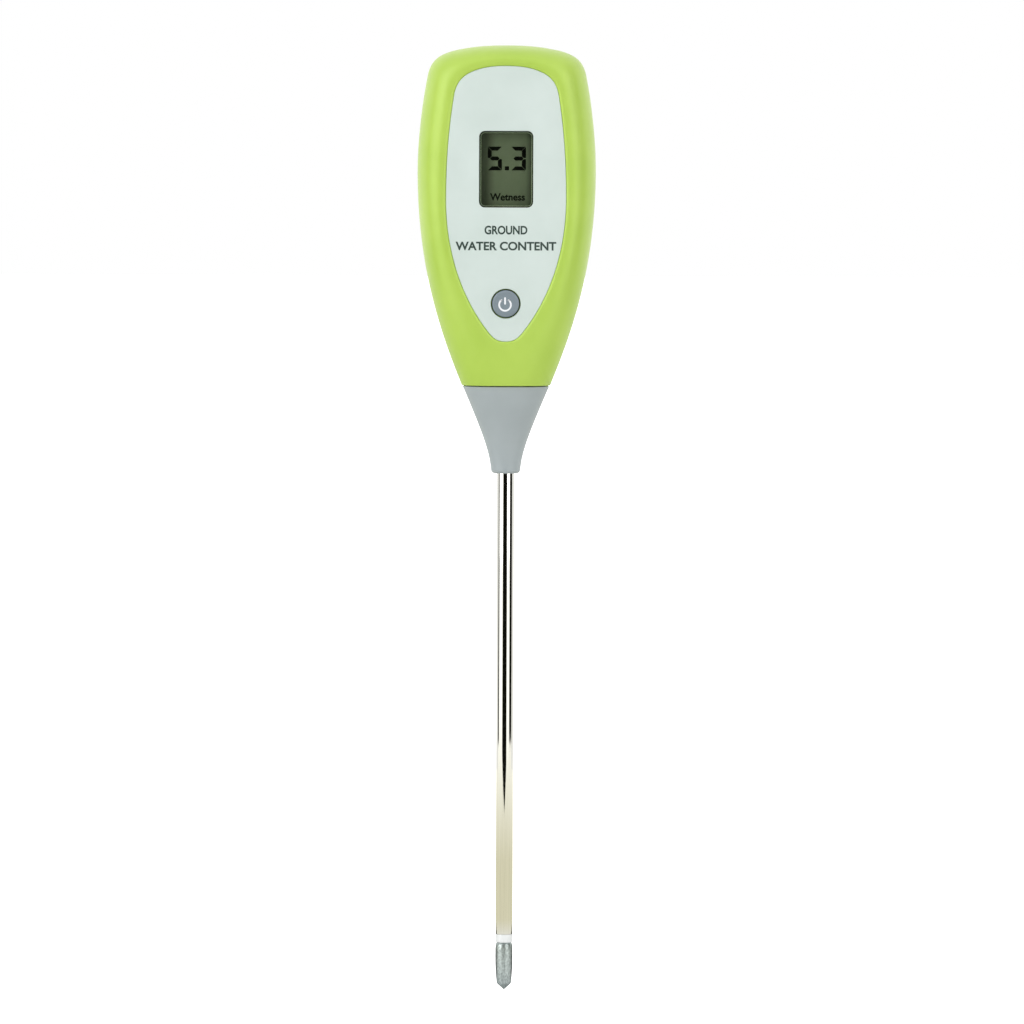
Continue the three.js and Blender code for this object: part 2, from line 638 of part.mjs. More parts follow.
const battery = section();
place(battery, "battery_cell_1", batteryCell(), CELL_WRAP, CELL_X, CELL_Y, CELL_BOTTOM);
const inverted = place(battery, "battery_cell_2", batteryCell(), CELL_WRAP, -CELL_X, CELL_Y, 0);
inverted.rotation.x = Math.PI;
inverted.position.z = TUB_BOTTOM + TUB_TOP - CELL_BOTTOM;
place(battery, "battery_spring_1", batterySpring(), STEEL, CELL_X, CELL_Y, TUB_BOTTOM + 1.3);
const upperSpring = place(battery, "battery_spring_2", batterySpring(), STEEL, -CELL_X, CELL_Y, 0);
upperSpring.rotation.x = Math.PI;
upperSpring.position.z = TUB_TOP - 1.3;
place(battery, "contact_negative", contactPlate(), STEEL, CELL_X, 0, TUB_BOTTOM + GAP);
place(battery, "contact_positive", contactPositive(), STEEL, -CELL_X, 0, TUB_BOTTOM + GAP);
place(battery, "contact_bridge", contactBridge(), STEEL, 0, 0, TUB_TOP - 0.7);

const probe = section();
place(probe, "probe_tube", probeTube(), CHROME);
place(probe, "insulator_ring", insulatorRing(), WHITE);
place(probe, "probe_tip", probeTip(), TIP_METAL);
place(probe, "core_rod", coreRod(), BRASS);
place(probe, "core_sleeve", coreSleeve(), BLACK);
place(probe, "tube_terminal", tubeTerminal(), BRASS);
place(probe, "core_terminal", coreTerminal(), BRASS);
place(probe, "probe_seal", probeSeal(), RUBBER, 0, 0, FLANGE_TOP - 0.9);

const leads = section();
for (const [name, points] of Object.entries(LEADS)) {
  const path = new THREE.CatmullRomCurve3(points.map((p) => v3(...p)));
  place(leads, name, wire(path, LEAD_RADIUS, 12, 4), BLACK_LEADS.includes(name) ? BLACK : RED_WIRE);
}

export default meter;
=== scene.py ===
"""The soil moisture meter's looks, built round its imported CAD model.

Lengths are in millimetres, unless a name ends in _m. +Z is up the probe, and the display faces -Y."""
import math

import bmesh
import bpy
import numpy as np
from mathutils import Matrix, Vector
from mathutils.geometry import tessellate_polygon


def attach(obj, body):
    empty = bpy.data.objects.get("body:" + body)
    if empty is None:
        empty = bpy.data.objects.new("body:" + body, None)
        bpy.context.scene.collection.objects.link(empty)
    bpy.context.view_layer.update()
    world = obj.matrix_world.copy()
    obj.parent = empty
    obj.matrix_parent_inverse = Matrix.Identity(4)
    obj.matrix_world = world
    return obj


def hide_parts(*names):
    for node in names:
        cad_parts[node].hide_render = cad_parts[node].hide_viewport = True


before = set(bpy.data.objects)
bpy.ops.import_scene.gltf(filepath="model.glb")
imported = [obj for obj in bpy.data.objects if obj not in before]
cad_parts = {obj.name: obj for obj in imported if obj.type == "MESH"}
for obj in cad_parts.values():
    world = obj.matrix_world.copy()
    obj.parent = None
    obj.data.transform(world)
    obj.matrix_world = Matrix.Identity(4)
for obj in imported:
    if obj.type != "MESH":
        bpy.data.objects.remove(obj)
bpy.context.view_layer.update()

MM = 0.001

# ---- Sizes, as in the CAD model ----
# heights up the probe
TIP_TOP = 15.4
RING_TOP = 18.1
CONE_BOTTOM = 167.6
CONE_TOP = 195.7
SEAM = 196.0  # the casing's lower end
COLLAR_TOP = 199.3
FLANGE_TOP = 202.6
TUBE_TOP = 204.4

# the probe
TUBE_RADIUS = 2.75
TUBE_BORE = 2.0
ROD_BORE = 0.95  # round the tip's conductor

# the casing: depths from the parting plane
FRONT_DEPTH = 13.7
REAR_DEPTH = 14.0
PARTING_GAP = 0.1  # from the parting plane to each cover's edge
WALL = 2.0
PLATE_FRONT = -13.3
PLATE_BACK = -11.9
SEAT_FRONT = -11.6  # the wall behind the face plate
SEAT_BACK = -10.1

# the display
WINDOW_Z = 265.3
WINDOW_HALF = (8.65, 12.2)
WINDOW_CORNER = 1.85
LENS_BORDER = 1.3  # of the clear window, behind the face plate
LENS_BACK = -10.4
LCD_FRONT = -9.8

# the button
BUTTON_Z = 222.4
BUTTON_RADIUS = 4.3
BUTTON_HOLE = 4.75

# the screws, as (x, z)
CASE_SCREWS = [(-10.5, 291.2), (10.5, 291.2), (0, 213.2)]
BOARD_SCREWS = [(-10.3, 285.5), (10.3, 285.5), (-10.3, 233), (10.3, 233)]
CASE_SCREW_SEAT = 4.2

# the battery door and the ledge that it rests on
DOOR_HALF = 13.0
DOOR_BOTTOM = 230.0
DOOR_TOP = 285.0
DOOR_INNER = 12.2
LEDGE = 11.9
HINGE = (13.1, 230.9)  # (y, z)
HOOK_X = 9.6

# the battery tub and the cells
TUB_HALF = 11.3
TUB_FLOOR = 1.0
TUB_BOTTOM = 231.0
TUB_TOP = 284.0
CELL_X = 5.6
CELL_Y = 6.6
CELL_RADIUS = 5.25
CELL_LENGTH = 44.5
CELL_BOTTOM = 236.4

# ---- Sizes of the fine model alone ----
LIP = 1.35  # from the face plate to where the casing starts to curve away
LCD_LAYER = 1.0  # thickness of each of the display's two glasses
PRINT = 0.03  # thickness of printed words and segments
PRINT_GAP = 0.005  # between the display and the dark shapes shown on it
BUTTON_FACE = -13.56  # the middle of the button's slightly hollow front


# ---- Mesh building ----
class Skin:
    """One closed mesh, gathered as loops of points and the faces between them."""

    def __init__(self):
        self.points = []
        self.faces = []

    def loop(self, points):
        start = len(self.points)
        self.points += [tuple(map(float, p)) for p in points]
        return list(range(start, len(self.points)))

    def wall(self, a, b):
        for i in range(len(a)):
            j = (i + 1) % len(a)
            self.faces.append((a[i], a[j], b[j], b[i]))

    def walls(self, rings):
        """Joins rings of equal length, and returns the first and the last as loops."""
        loops = [self.loop(ring) for ring in rings]
        for a, b in zip(loops, loops[1:]):
            self.wall(a, b)
        return loops[0], loops[-1]

    def cap(self, loop):
        self.faces.append(tuple(loop))

    def solid(self, rings):
        """Joins rings of equal length, and closes both ends."""
        for loop in self.walls(rings):
            self.cap(loop)

    def hoop(self, rings):
        """Joins rings of equal length, and the last one to the first."""
        first, last = self.walls(rings)
        self.wall(last, first)

    def fill(self, outer, holes=()):
        """Closes the flat space between an outer loop and the holes in it."""
        loops = [outer, *holes]
        order = [i for loop in loops for i in loop]
        corners = [[Vector(self.points[i]) for i in loop] for loop in loops]
        for triangle in tessellate_polygon(corners):
            self.faces.append(tuple(order[i] for i in triangle))

    def build(self, name, material, body="body", sharp=35):
        mesh = bpy.data.meshes.new(name)
        mesh.from_pydata([Vector(p) * MM for p in self.points], [], self.faces)
        bm = bmesh.new()
        bm.from_mesh(mesh)
        bmesh.ops.recalc_face_normals(bm, faces=bm.faces)
        finish_mesh(bm, mesh, sharp)
        return add_piece(name, mesh, material, body)


def add_object(name, data):
    obj = bpy.data.objects.new(name, data)
    bpy.context.scene.collection.objects.link(obj)
    return obj


def add_piece(name, mesh, material, body):
    """A piece of one material, which rides on a body."""
    mesh.materials.clear()
    mesh.materials.append(material)
    obj = add_object(name, mesh)
    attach(obj, body)
    return obj


def mesh_of(obj):
    """An object's mesh with its modifiers, bevel or text applied."""
    graph = bpy.context.evaluated_depsgraph_get()
    return bpy.data.meshes.new_from_object(obj.evaluated_get(graph))


def merged(mesh, distance_m):
    """A mesh opened for editing, with its doubled points joined."""
    bm = bmesh.new()
    bm.from_mesh(mesh)
    bmesh.ops.remove_doubles(bm, verts=bm.verts, dist=distance_m)
    return bm


def finish_mesh(bm, mesh, sharp):
    """Shades smooth, and keeps the edges that turn by more than sharp degrees crisp."""
    limit = math.radians(sharp)
    for edge in bm.edges:
        edge.smooth = len(edge.link_faces) == 2 and edge.calc_face_angle(0) < limit
    for face in bm.faces:
        face.smooth = True
    bm.to_mesh(mesh)
    bm.free()


def weigh_normals(obj):
    modifier = obj.modifiers.new("weighted", "WEIGHTED_NORMAL")
    modifier.keep_sharp = True
    return obj


def apply_modifiers(obj):
    mesh = mesh_of(obj)
    obj.modifiers.clear()
    obj.data = mesh


def cut(obj, cutters, operation="DIFFERENCE", sharp=35):
    """Cuts closed skins out of a piece, or joins them to it."""
    for skin in cutters:
        cutter = skin.build("cutter", obj.data.materials[0])
        modifier = obj.modifiers.new("cut", "BOOLEAN")
        modifier.operation = operation
        modifier.solver = "EXACT"
        modifier.object = cutter
        apply_modifiers(obj)
        bpy.data.objects.remove(cutter)
    finish_mesh(merged(obj.data, 1e-7), obj.data, sharp)


def block(low, high):
    """A closed block between two corners."""
    (x1, y1, z1), (x2, y2, z2) = low, high
    skin = Skin()
    skin.solid([[(x1, y1, z), (x2, y1, z), (x2, y2, z), (x1, y2, z)] for z in (z1, z2)])
    return skin


def arc(steps, start=0.0, end=90.0):
    """Angles in radians, both ends included."""
    return np.radians(np.linspace(start, end, steps + 1))


def soften(profile, radius, steps, closed=False):
    """Rounds the corners of a line of points in a plane."""
    points = [np.array(p, float) for p in profile]
    count = len(points)
    result = []
    for i, point in enumerate(points):
        if not closed and i in (0, count - 1):
            result.append(point)
            continue
        back, ahead = points[i - 1] - point, points[(i + 1) % count] - point
        reach = min(radius, 0.45 * np.linalg.norm(back), 0.45 * np.linalg.norm(ahead))
        start = point + back / np.linalg.norm(back) * reach
        end = point + ahead / np.linalg.norm(ahead) * reach
        for t in np.linspace(0, 1, steps + 1):
            result.append((1 - t) ** 2 * start + 2 * t * (1 - t) * point + t**2 * end)
    return result


def revolve(name, profile, material, sides, sharp, closed=False, place=None, body="body"):
    """A turned piece from (radius, height) points, about Z unless place says where a point goes."""
    place = place or (lambda x, y, h: (x, y, h))
    turns = np.arange(sides) * 2 * math.pi / sides
    skin = Skin()
    loops = []
    for radius, height in profile:
        around = turns if radius > 1e-6 else turns[:1]
        loops.append(skin.loop([place(radius * math.cos(a), radius * math.sin(a), height) for a in around]))
    for a, b in zip(loops, loops[1:] + (loops[:1] if closed else [])):
        if len(a) == 1 or len(b) == 1:
            pole, ring = (a, b) if len(a) == 1 else (b, a)
            for i in range(len(ring)):
                skin.faces.append((pole[0], ring[i], ring[(i + 1) % len(ring)]))
        else:
            skin.wall(a, b)
    return weigh_normals(skin.build(name, material, body, sharp))


def sweep(name, points, radius, material):
    """A round wire through points."""
    curve = bpy.data.curves.new(name, "CURVE")
    curve.dimensions = "3D"
    curve.bevel_depth = radius * MM
    curve.bevel_resolution = 4
    curve.use_fill_caps = True
    line = curve.splines.new("NURBS")
    line.points.add(len(points) - 1)
    for point, place in zip(line.points, points):
        point.co = (*(Vector(place) * MM), 1)
    line.use_endpoint_u = True
    line.order_u = 4
    source = add_object(name + "_path", curve)
    mesh = mesh_of(source)
    bpy.data.objects.remove(source)
    finish_mesh(merged(mesh, 1e-7), mesh, 50)
    return add_piece(name, mesh, material, "body")


# ---- Materials ----
def linear(hex_colour):
    """A hexadecimal sRGB colour as linear red, green, blue and alpha."""
    parts = [int(hex_colour[i : i + 2], 16) / 255 for i in (1, 3, 5)]
    return (*[p / 12.92 if p <= 0.04045 else ((p + 0.055) / 1.055) ** 2.4 for p in parts], 1.0)


class Nodes:
    """A new material with a Principled shader, and short ways to add nodes to it."""

    def __init__(self, name):
        self.material = bpy.data.materials.new(name)
        self.material.use_nodes = True
        self.tree = self.material.node_tree
        self.shader = self.tree.nodes["Principled BSDF"]
        self.place = self.add("ShaderNodeTexCoord").outputs["Object"]

    def add(self, kind, **values):
        node = self.tree.nodes.new(kind)
        for key, value in values.items():
            if key in node.inputs:
                node.inputs[key].default_value = value
            else:
                setattr(node, key, value)
        return node

    def link(self, a, b):
        self.tree.links.new(a, b)

    def feed(self, value, socket):
        self.link(value, self.shader.inputs[socket])

    def noise(self, scale, detail=3.0, stretch=(1, 1, 1)):
        """Noise with about scale features a metre, drawn out along an axis whose stretch is under 1."""
        mapping = self.add("ShaderNodeMapping")
        mapping.inputs["Scale"].default_value = stretch
        self.link(self.place, mapping.inputs["Vector"])
        noise = self.add("ShaderNodeTexNoise", Scale=scale, Detail=detail)
        self.link(mapping.outputs["Vector"], noise.inputs["Vector"])
        return noise.outputs["Fac"]

    def span(self, value, low, high, start=0.3, end=0.7):
        """Maps start to low and end to high. Noise mostly lies between 0.3 and 0.7."""
        node = self.add("ShaderNodeMapRange")
        for key, number in zip(("From Min", "From Max", "To Min", "To Max"), (start, end, low, high)):
            node.inputs[key].default_value = number
        self.link(value, node.inputs["Value"])
        return node.outputs["Result"]

    def ramp(self, factor, stops):
        """A colour ramp over factor, from (position, colour) stops."""
        node = self.add("ShaderNodeValToRGB")
        elements = node.color_ramp.elements
        for position, _ in stops[1:-1]:
            elements.new(position)
        for element, (position, colour) in zip(elements, stops):
            element.position = position
            element.color = linear(colour)
        self.link(factor, node.inputs["Fac"])
        return node.outputs["Color"]

    def tint(self, factor, colours):
        """A colour ramp over factor, with its colours evenly spaced."""
        return self.ramp(factor, [(i / (len(colours) - 1), colour) for i, colour in enumerate(colours)])

    def bump(self, height, depth_m, strength=1.0):
        node = self.add("ShaderNodeBump", Strength=strength, Distance=depth_m)
        self.link(height, node.inputs["Height"])
        self.feed(node.outputs["Normal"], "Normal")


def plastic(name, colours, roughness, grain_m=0.0006, depth_m=0.000006, specular=0.5):
    """Moulded plastic: slightly uneven colour and gloss, over a fine spark-eroded grain."""
    nodes = Nodes(name)
    nodes.feed(nodes.tint(nodes.span(nodes.noise(60), 0, 1), colours), "Base Color")
    nodes.feed(nodes.span(nodes.noise(900, 4), roughness - 0.04, roughness + 0.04), "Roughness")
    nodes.bump(nodes.noise(1 / grain_m, 2), depth_m)
    nodes.shader.inputs["Specular IOR Level"].default_value = specular
    return nodes.material


def metal(name, colours, roughness, stretch=(1, 1, 0.03), scale=1500, depth_m=0.000002,
          spread=0.05, edge=1.0):
    """Bare metal with drawn marks along one axis, and smudges that dull it. A low edge makes it
    reflect less at its sides."""
    nodes = Nodes(name)
    nodes.shader.inputs["Metallic"].default_value = 1.0
    nodes.shader.inputs["Specular Tint"].default_value = (edge, edge, edge, 1)
    marks = nodes.noise(scale, 4, stretch)
    nodes.feed(nodes.tint(nodes.span(marks, 0, 1), colours), "Base Color")
    nodes.feed(nodes.span(nodes.noise(120, 3), roughness, roughness + spread), "Roughness")
    nodes.bump(marks, depth_m, 0.6)
    return nodes.material


def clear_plastic(name):
    """A clear window: what is behind it shows, under a gloss that grows at glancing angles."""
    nodes = Nodes(name)
    nodes.tree.nodes.remove(nodes.shader)
    through = nodes.add("ShaderNodeBsdfTransparent", Color=linear("#f3f7f0"))
    gloss = nodes.add("ShaderNodeBsdfGlossy", Color=(1, 1, 1, 1), Roughness=0.04)
    facing = nodes.add("ShaderNodeLayerWeight", Blend=0.5).outputs["Facing"]
    fifth = nodes.add("ShaderNodeMath", operation="POWER")
    nodes.link(facing, fifth.inputs[0])
    fifth.inputs[1].default_value = 5
    mix = nodes.add("ShaderNodeMixShader")
    nodes.link(nodes.span(fifth.outputs["Value"], 0.039, 1, 0, 1), mix.inputs["Fac"])
    nodes.link(through.outputs["BSDF"], mix.inputs[1])
    nodes.link(gloss.outputs["BSDF"], mix.inputs[2])
    nodes.link(mix.outputs["Shader"], nodes.tree.nodes["Material Output"].inputs["Surface"])
    return nodes.material


def display_film_with_painted_shade(name):
    """The display's polarising film: olive, with painted shade that darkens it towards its sides and its
    upper and lower edge, where the window's edges shade the sunk display, and a thin reddish-brown line
    along its lower edge.
    """
    nodes = Nodes(name)
    colour = nodes.tint(nodes.span(nodes.noise(300), 0, 1), ["#747c68", "#7a826f"])
    parts = nodes.add("ShaderNodeSeparateXYZ")
    nodes.link(nodes.place, parts.inputs["Vector"])
    # painted shade across the film: darker bands at its left and right sides, where the window's edges shade
    # it
    across = [(0, "#b2b4b2"), (0.13, "#b2b4b2"), (0.21, "#e0e0e0"), (0.3, "#ffffff"), (0.86, "#ffffff"),
              (0.94, "#c8cac8"), (1, "#9c9e9c")]
    # painted shade upwards: darker towards its upper edge, with a thin reddish-brown line at its lower edge
    upwards = [(0, "#8a5a48"), (0.014, "#8a5a48"), (0.024, "#e9e9e9"), (0.2, "#f2f2f2"), (0.5, "#ffffff"),
               (0.96, "#f4f4f4"), (1, "#8c908c")]
    for axis, middle, half, stops in zip("XZ", (0, WINDOW_Z), WINDOW_HALF, (across, upwards)):
        along = nodes.span(parts.outputs[axis], 0, 1, (middle - half) * MM, (middle + half) * MM)
        mix = nodes.add("ShaderNodeMix", data_type="RGBA", blend_type="MULTIPLY", Factor=1.0)
        nodes.link(colour, mix.inputs["A"])
        nodes.link(nodes.ramp(along, stops), mix.inputs["B"])
        colour = mix.outputs["Result"]
    nodes.feed(colour, "Base Color")
    nodes.feed(nodes.span(nodes.noise(900, 4), 0.28, 0.36), "Roughness")
    nodes.bump(nodes.noise(2500, 2), 0.000001)
    return nodes.material


GREEN = plastic("green_plastic", ["#b3d54d", "#bcdc57"], 0.36)
PLATE = plastic("plate_plastic", ["#d2e0da", "#dae7e2"], 0.38, 0.0009, 0.000003)
GREY = plastic("grey_plastic", ["#a4aeb1", "#aeb8bb"], 0.38, specular=0.6)
BUTTON = plastic("button_plastic", ["#7e8c95", "#8997a0"], 0.42)
WHITE = plastic("white_plastic", ["#f3f6f6", "#fcfefe"], 0.4)
SYMBOL = plastic("symbol_ink", ["#f4f7fb", "#ffffff"], 0.5)
INK = plastic("label_ink", ["#33453f", "#3f504a"], 0.5, specular=0.3)
SEGMENT = plastic("segment_ink", ["#020402", "#060804"], 0.5, specular=0.05)
LCD = display_film_with_painted_shade("lcd_surface")
# painted highlight: the colour of the thin pale line just inside the display's window
EDGE_HIGHLIGHT = plastic("painted_edge_highlight", ["#c3cfb4", "#dde6cf"], 0.3)
BLACK = plastic("black_plastic", ["#17181a", "#222427"], 0.5)
RUBBER = plastic("black_rubber", ["#202123", "#2a2b2d"], 0.75)
BOARD = plastic("solder_mask", ["#1d5a34", "#2c7446"], 0.35, 0.0012, 0.00002)
CERAMIC = plastic("capacitor_body", ["#9a7448", "#ad8555"], 0.5)
WRAP = plastic("cell_wrap", ["#2f5486", "#35609a"], 0.34)
RED = plastic("red_insulation", ["#a81f18", "#bb2a20"], 0.4)
DARK = plastic("black_insulation", ["#1a1b1d", "#242628"], 0.4)
CHROME = metal("polished_steel", ["#eeede8", "#f5f4f0"], 0.03, spread=0.02)
STEEL = metal("plated_steel", ["#b3b6b8", "#c9cccd"], 0.25, (1, 1, 1), 800)
BRASS = metal("bare_brass", ["#b4924f", "#c6a45e"], 0.3)
TIP = metal("tip_metal", ["#98a2a2", "#b7c1c1", "#d0dada"], 0.34, (1, 1, 0.6), 2200, 0.00002, 0.08, edge=0.1)
CLEAR = clear_plastic("clear_window")


# ---- The head's form ----
# Right half of the silhouette as cubic curves, from below the seam, where it would close, to the crown.
HEAD_SIDE = [
    ((0, 186), (6.5, 186), (11.3, 189.6), (14.25, 196)),
    ((14.25, 196), (20.8, 212), (28.7, 233.4), (28.7, 265)),
    ((28.7, 265), (28.7, 273.2), (27.6, 285), (25.5, 295.5)),
    ((25.5, 295.5), (24.4, 301), (21, 302.9), (14, 304.1)),
    ((14, 304.1), (9.5, 305), (4.7, 305.2), (0, 305.2)),
]
# Right half of the face plate, with a curve for each one of the silhouette.
PLATE_SIDE = [
    ((0, 210.3), (3, 210.3), (4.1, 211.4), (6.2, 214.2)),
    ((6.2, 214.2), (13.1, 223.3), (19.2, 237.5), (19.2, 255.9)),
    ((19.2, 255.9), (19.2, 270.6), (18, 280.7), (16.7, 288.8)),
    ((16.7, 288.8), (15.9, 293.8), (13, 295.9), (8.5, 297.2)),
    ((8.5, 297.2), (5.9, 298), (2.8, 298.2), (0, 298.2)),
]
CURVE_STEPS = [22, 40, 18, 26, 12]


def outline(side, inset=0.0):
    """The whole outline as (x, z) rows, moved inwards by inset."""
    rows = []
    for k, (corners, steps) in enumerate(zip(side, CURVE_STEPS)):
        a, b, c, d = (np.array(p, float) for p in corners)
        for t in np.linspace(0, 1, steps + 1)[1 if k else 0 :]:
            point = (1 - t) ** 3 * a + 3 * t * (1 - t) ** 2 * b + 3 * t**2 * (1 - t) * c + t**3 * d
            along = (1 - t) ** 2 * (b - a) + 2 * t * (1 - t) * (c - b) + t**2 * (d - c)
            along /= np.linalg.norm(along)
            rows.append(point + inset * np.array([-along[1], along[0]]))
    right = np.array(rows)
    right[[0, -1], 0] = 0
    left = right[-2:0:-1] * [-1, 1]
    return np.vstack([right, left])


def at_depth(rows, y):
    return np.column_stack([rows[:, 0], np.full(len(rows), y), rows[:, 1]])


def rim_surface(side, inset, depth):
    """Returns a function of each column's angle that gives points from the rim to the flat face,
    and the angle at which each column leaves the parting plane or the seam. side is -1 in front."""
    rim = outline(HEAD_SIDE, inset)
    flat = outline(PLATE_SIDE, inset * 0.5 - LIP)

    def point(angle):
        across = flat + (rim - flat) * np.cos(angle)[:, None]
        return np.column_stack([across[:, 0], side * depth * np.sin(angle), across[:, 1]])

    below_seam = rim[:, 1] < SEAM
    reach = (flat[:, 1] - SEAM) / (flat[:, 1] - rim[:, 1])
    start = np.where(below_seam, np.arccos(np.clip(reach, -1, 1)), 0)
    return point, np.maximum(start, math.asin(PARTING_GAP / depth))


def cover_skin(side, depth, inner_depth):
    """One cover's outer and inner surfaces, joined by its cut edge. Returns the skin and the loops
    where the outer and inner surfaces meet the flat face."""
    skin = Skin()
    outer, start = rim_surface(side, 0.0, depth)
    inner, inner_start = rim_surface(side, WALL, inner_depth)
    corner = outer(start)
    on_seam = start > math.asin(PARTING_GAP / depth) + 1e-9
    inwards = at_depth(outline(HEAD_SIDE, 1.0) - outline(HEAD_SIDE), 0.0)
    radial = corner * [-1, -1, 0]
    inwards[on_seam] = (radial / np.linalg.norm(radial, axis=1)[:, None])[on_seam]
    edge = 0.16  # how far the rounding of the cut edge reaches
    first_angle = start + edge / depth
    first = outer(first_angle)
    last = corner + edge * inwards
    outer_steps, inner_steps = 26, 12
    rings = [outer(first_angle + (math.pi / 2 - first_angle) * k / outer_steps)
             for k in range(outer_steps, -1, -1)]
    for t in np.linspace(0, 1, 5)[1:]:
        rings.append((1 - t) ** 2 * first + 2 * t * (1 - t) * corner + t**2 * last)
    rings += [inner(inner_start + (math.pi / 2 - inner_start) * k / inner_steps)
              for k in range(inner_steps + 1)]
    return (skin, *skin.walls(rings))


def rounded_rectangle(half, corner, centre, grow=0.0, steps=8):
    """(x, z) rows round a rectangle with round corners, grown outwards on all sides."""
    rows = []
    corner += grow
    for quarter, (sx, sz) in enumerate([(1, 1), (-1, 1), (-1, -1), (1, -1)]):
        middle = np.array(centre) + [sx * (half[0] + grow - corner), sz * (half[1] + grow - corner)]
        for angle in arc(steps, 90 * quarter, 90 * quarter + 90):
            rows.append(middle + corner * np.array([math.cos(angle), math.sin(angle)]))
    return np.array(rows)


def circle(radius, x, z, sides=64):
    turns = np.arange(sides) * 2 * math.pi / sides
    return np.column_stack([x + radius * np.cos(turns), z + radius * np.sin(turns)])


def window_rows(grow=0.0):
    return rounded_rectangle(WINDOW_HALF, WINDOW_CORNER, (0, WINDOW_Z), grow)


def rounded_mouth(skin, rows_at, y, inwards, radius, end):
    """A hole's wall with a rounded mouth, from the face at y. rows_at(grow) gives its outline, and
    inwards is the sign of y into the piece. Returns the mouth's loop and the loop at end."""
    rings = []
    for angle in arc(4):
        grow = radius * (1 - math.sin(angle))
        rings.append(at_depth(rows_at(grow), y + inwards * radius * (1 - math.cos(angle))))
    rings.append(at_depth(rows_at(0.0), end))
    return skin.walls(rings)


def post(skin, x, z, sizes):
    """A round wall in a cover from (radius, y) sizes. Returns its first and last loops."""
    return skin.walls([at_depth(circle(radius, x, z, 32), y) for radius, y in sizes])


def boss(skin, x, z, radius, end, hole, hole_end):
    """A post inside the front cover, with a blind hole for a screw. Returns the loop at its foot."""
    foot, bottom = post(skin, x, z, [(radius, SEAT_BACK), (radius, end), (hole, end), (hole, hole_end)])
    skin.cap(bottom)
    return foot


def front_shell():
    skin, flat, inner = cover_skin(-1, FRONT_DEPTH, -SEAT_BACK)
    clearance, slope, drop = 0.06, 1.2, 0.62  # the lip slopes down to the plate
    rings = []
    for angle in arc(8):
        offset = clearance + slope * (1 - math.sin(angle))
        rings.append(at_depth(outline(PLATE_SIDE, -offset), -FRONT_DEPTH + drop * (1 - math.cos(angle))))
    rings.append(at_depth(outline(PLATE_SIDE, -clearance), SEAT_FRONT))
    lip, seat = skin.walls(rings)
    skin.wall(flat, lip)
    front_holes, back_holes = [], []
    for rows in (window_rows(LENS_BORDER + 0.3), circle(BUTTON_RADIUS + 0.22, 0, BUTTON_Z)):
        near, far = skin.walls([at_depth(rows, SEAT_FRONT), at_depth(rows, SEAT_BACK)])
        front_holes.append(near)
        back_holes.append(far)
    for x, z in CASE_SCREWS:
        back_holes.append(boss(skin, x, z, radius=2.9, end=-PARTING_GAP, hole=1.3, hole_end=-7.5))
    for x, z in BOARD_SCREWS:
        back_holes.append(boss(skin, x, z, radius=2.2, end=-3.9, hole=0.95, hole_end=-9))
    skin.fill(seat, front_holes)
    skin.fill(inner, back_holes)
    return weigh_normals(skin.build("front_shell", GREEN))


def seam_tongue():
    """The rib along the parting line, which one cover has and the other closes over."""
    skin = Skin()
    rings = [at_depth(outline(HEAD_SIDE, inset), y) for inset, y in
             [(0.5, -0.8), (0.5, 0.8), (1.1, 0.8), (1.1, -0.8)]]
    skin.hoop(rings)
    tongue = skin.build("seam_tongue", GREEN)
    cut(tongue, [block((-10, -2, 190), (10, 2, 199))])
    return tongue


def rear_shell():
    inner_depth = REAR_DEPTH - WALL
    skin, flat, inner = cover_skin(1, REAR_DEPTH, inner_depth)

    # the opening for the door, and its ledge
    middle = (0, (DOOR_BOTTOM + DOOR_TOP) / 2)
    gap = 0.2  # round the door
    half = (DOOR_HALF + gap, (DOOR_TOP - DOOR_BOTTOM) / 2 + gap)
    opening = lambda grow: rounded_rectangle(half, 0.7, middle, grow)
    mouth, step = rounded_mouth(skin, opening, REAR_DEPTH, -1, 0.25, LEDGE)

    # the battery tub's inside and outside
    tub_middle = (0, (TUB_BOTTOM + TUB_TOP) / 2)
    tub_half = (TUB_HALF, (TUB_TOP - TUB_BOTTOM) / 2)
    tub = lambda grow, y: at_depth(rounded_rectangle(tub_half, 0.6, tub_middle, grow), y)
    tub_mouth, floor = skin.walls([tub(0, LEDGE), tub(0, TUB_FLOOR)])
    skin.fill(step, [tub_mouth])
    skin.cap(floor)
    under_ledge, tub_back = 10.1, TUB_FLOOR - 1.2
    tub_foot, back = skin.walls([tub(3.1, inner_depth), tub(3.1, under_ledge), tub(1.5, under_ledge),
                                 tub(1.5, tub_back)])
    skin.cap(back)

    # the posts that the case screws go through
    outer_holes, inner_holes = [mouth], [tub_foot]
    head_bore, shank_bore, post_radius = 2.6, 1.35, 3.1
    for x, z in CASE_SCREWS:
        bore = lambda grow, x=x, z=z: circle(head_bore + grow, x, z, 32)
        near, seat = rounded_mouth(skin, bore, REAR_DEPTH, -1, 0.2, CASE_SCREW_SEAT)
        hole, foot = post(skin, x, z, [(shank_bore, CASE_SCREW_SEAT), (shank_bore, PARTING_GAP),
                                       (post_radius, PARTING_GAP), (post_radius, inner_depth)])
        skin.wall(seat, hole)
        outer_holes.append(near)
        inner_holes.append(foot)
    skin.fill(flat, outer_holes)
    skin.fill(inner, inner_holes)
    shell = skin.build("rear_shell", GREEN)
    hook_slots = [block((x - 1.8, 7.5, 226.8), (x + 1.8, LEDGE - 0.02, 232)) for x in (-HOOK_X, HOOK_X)]
    tail_slots = [block((x - 1.4, -1, 231.02), (x + 1.4, 2, 232.2)) for x in (-CELL_X, CELL_X)]
    cut(shell, [*hook_slots, *tail_slots, finger_notch()])
    return weigh_normals(shell)


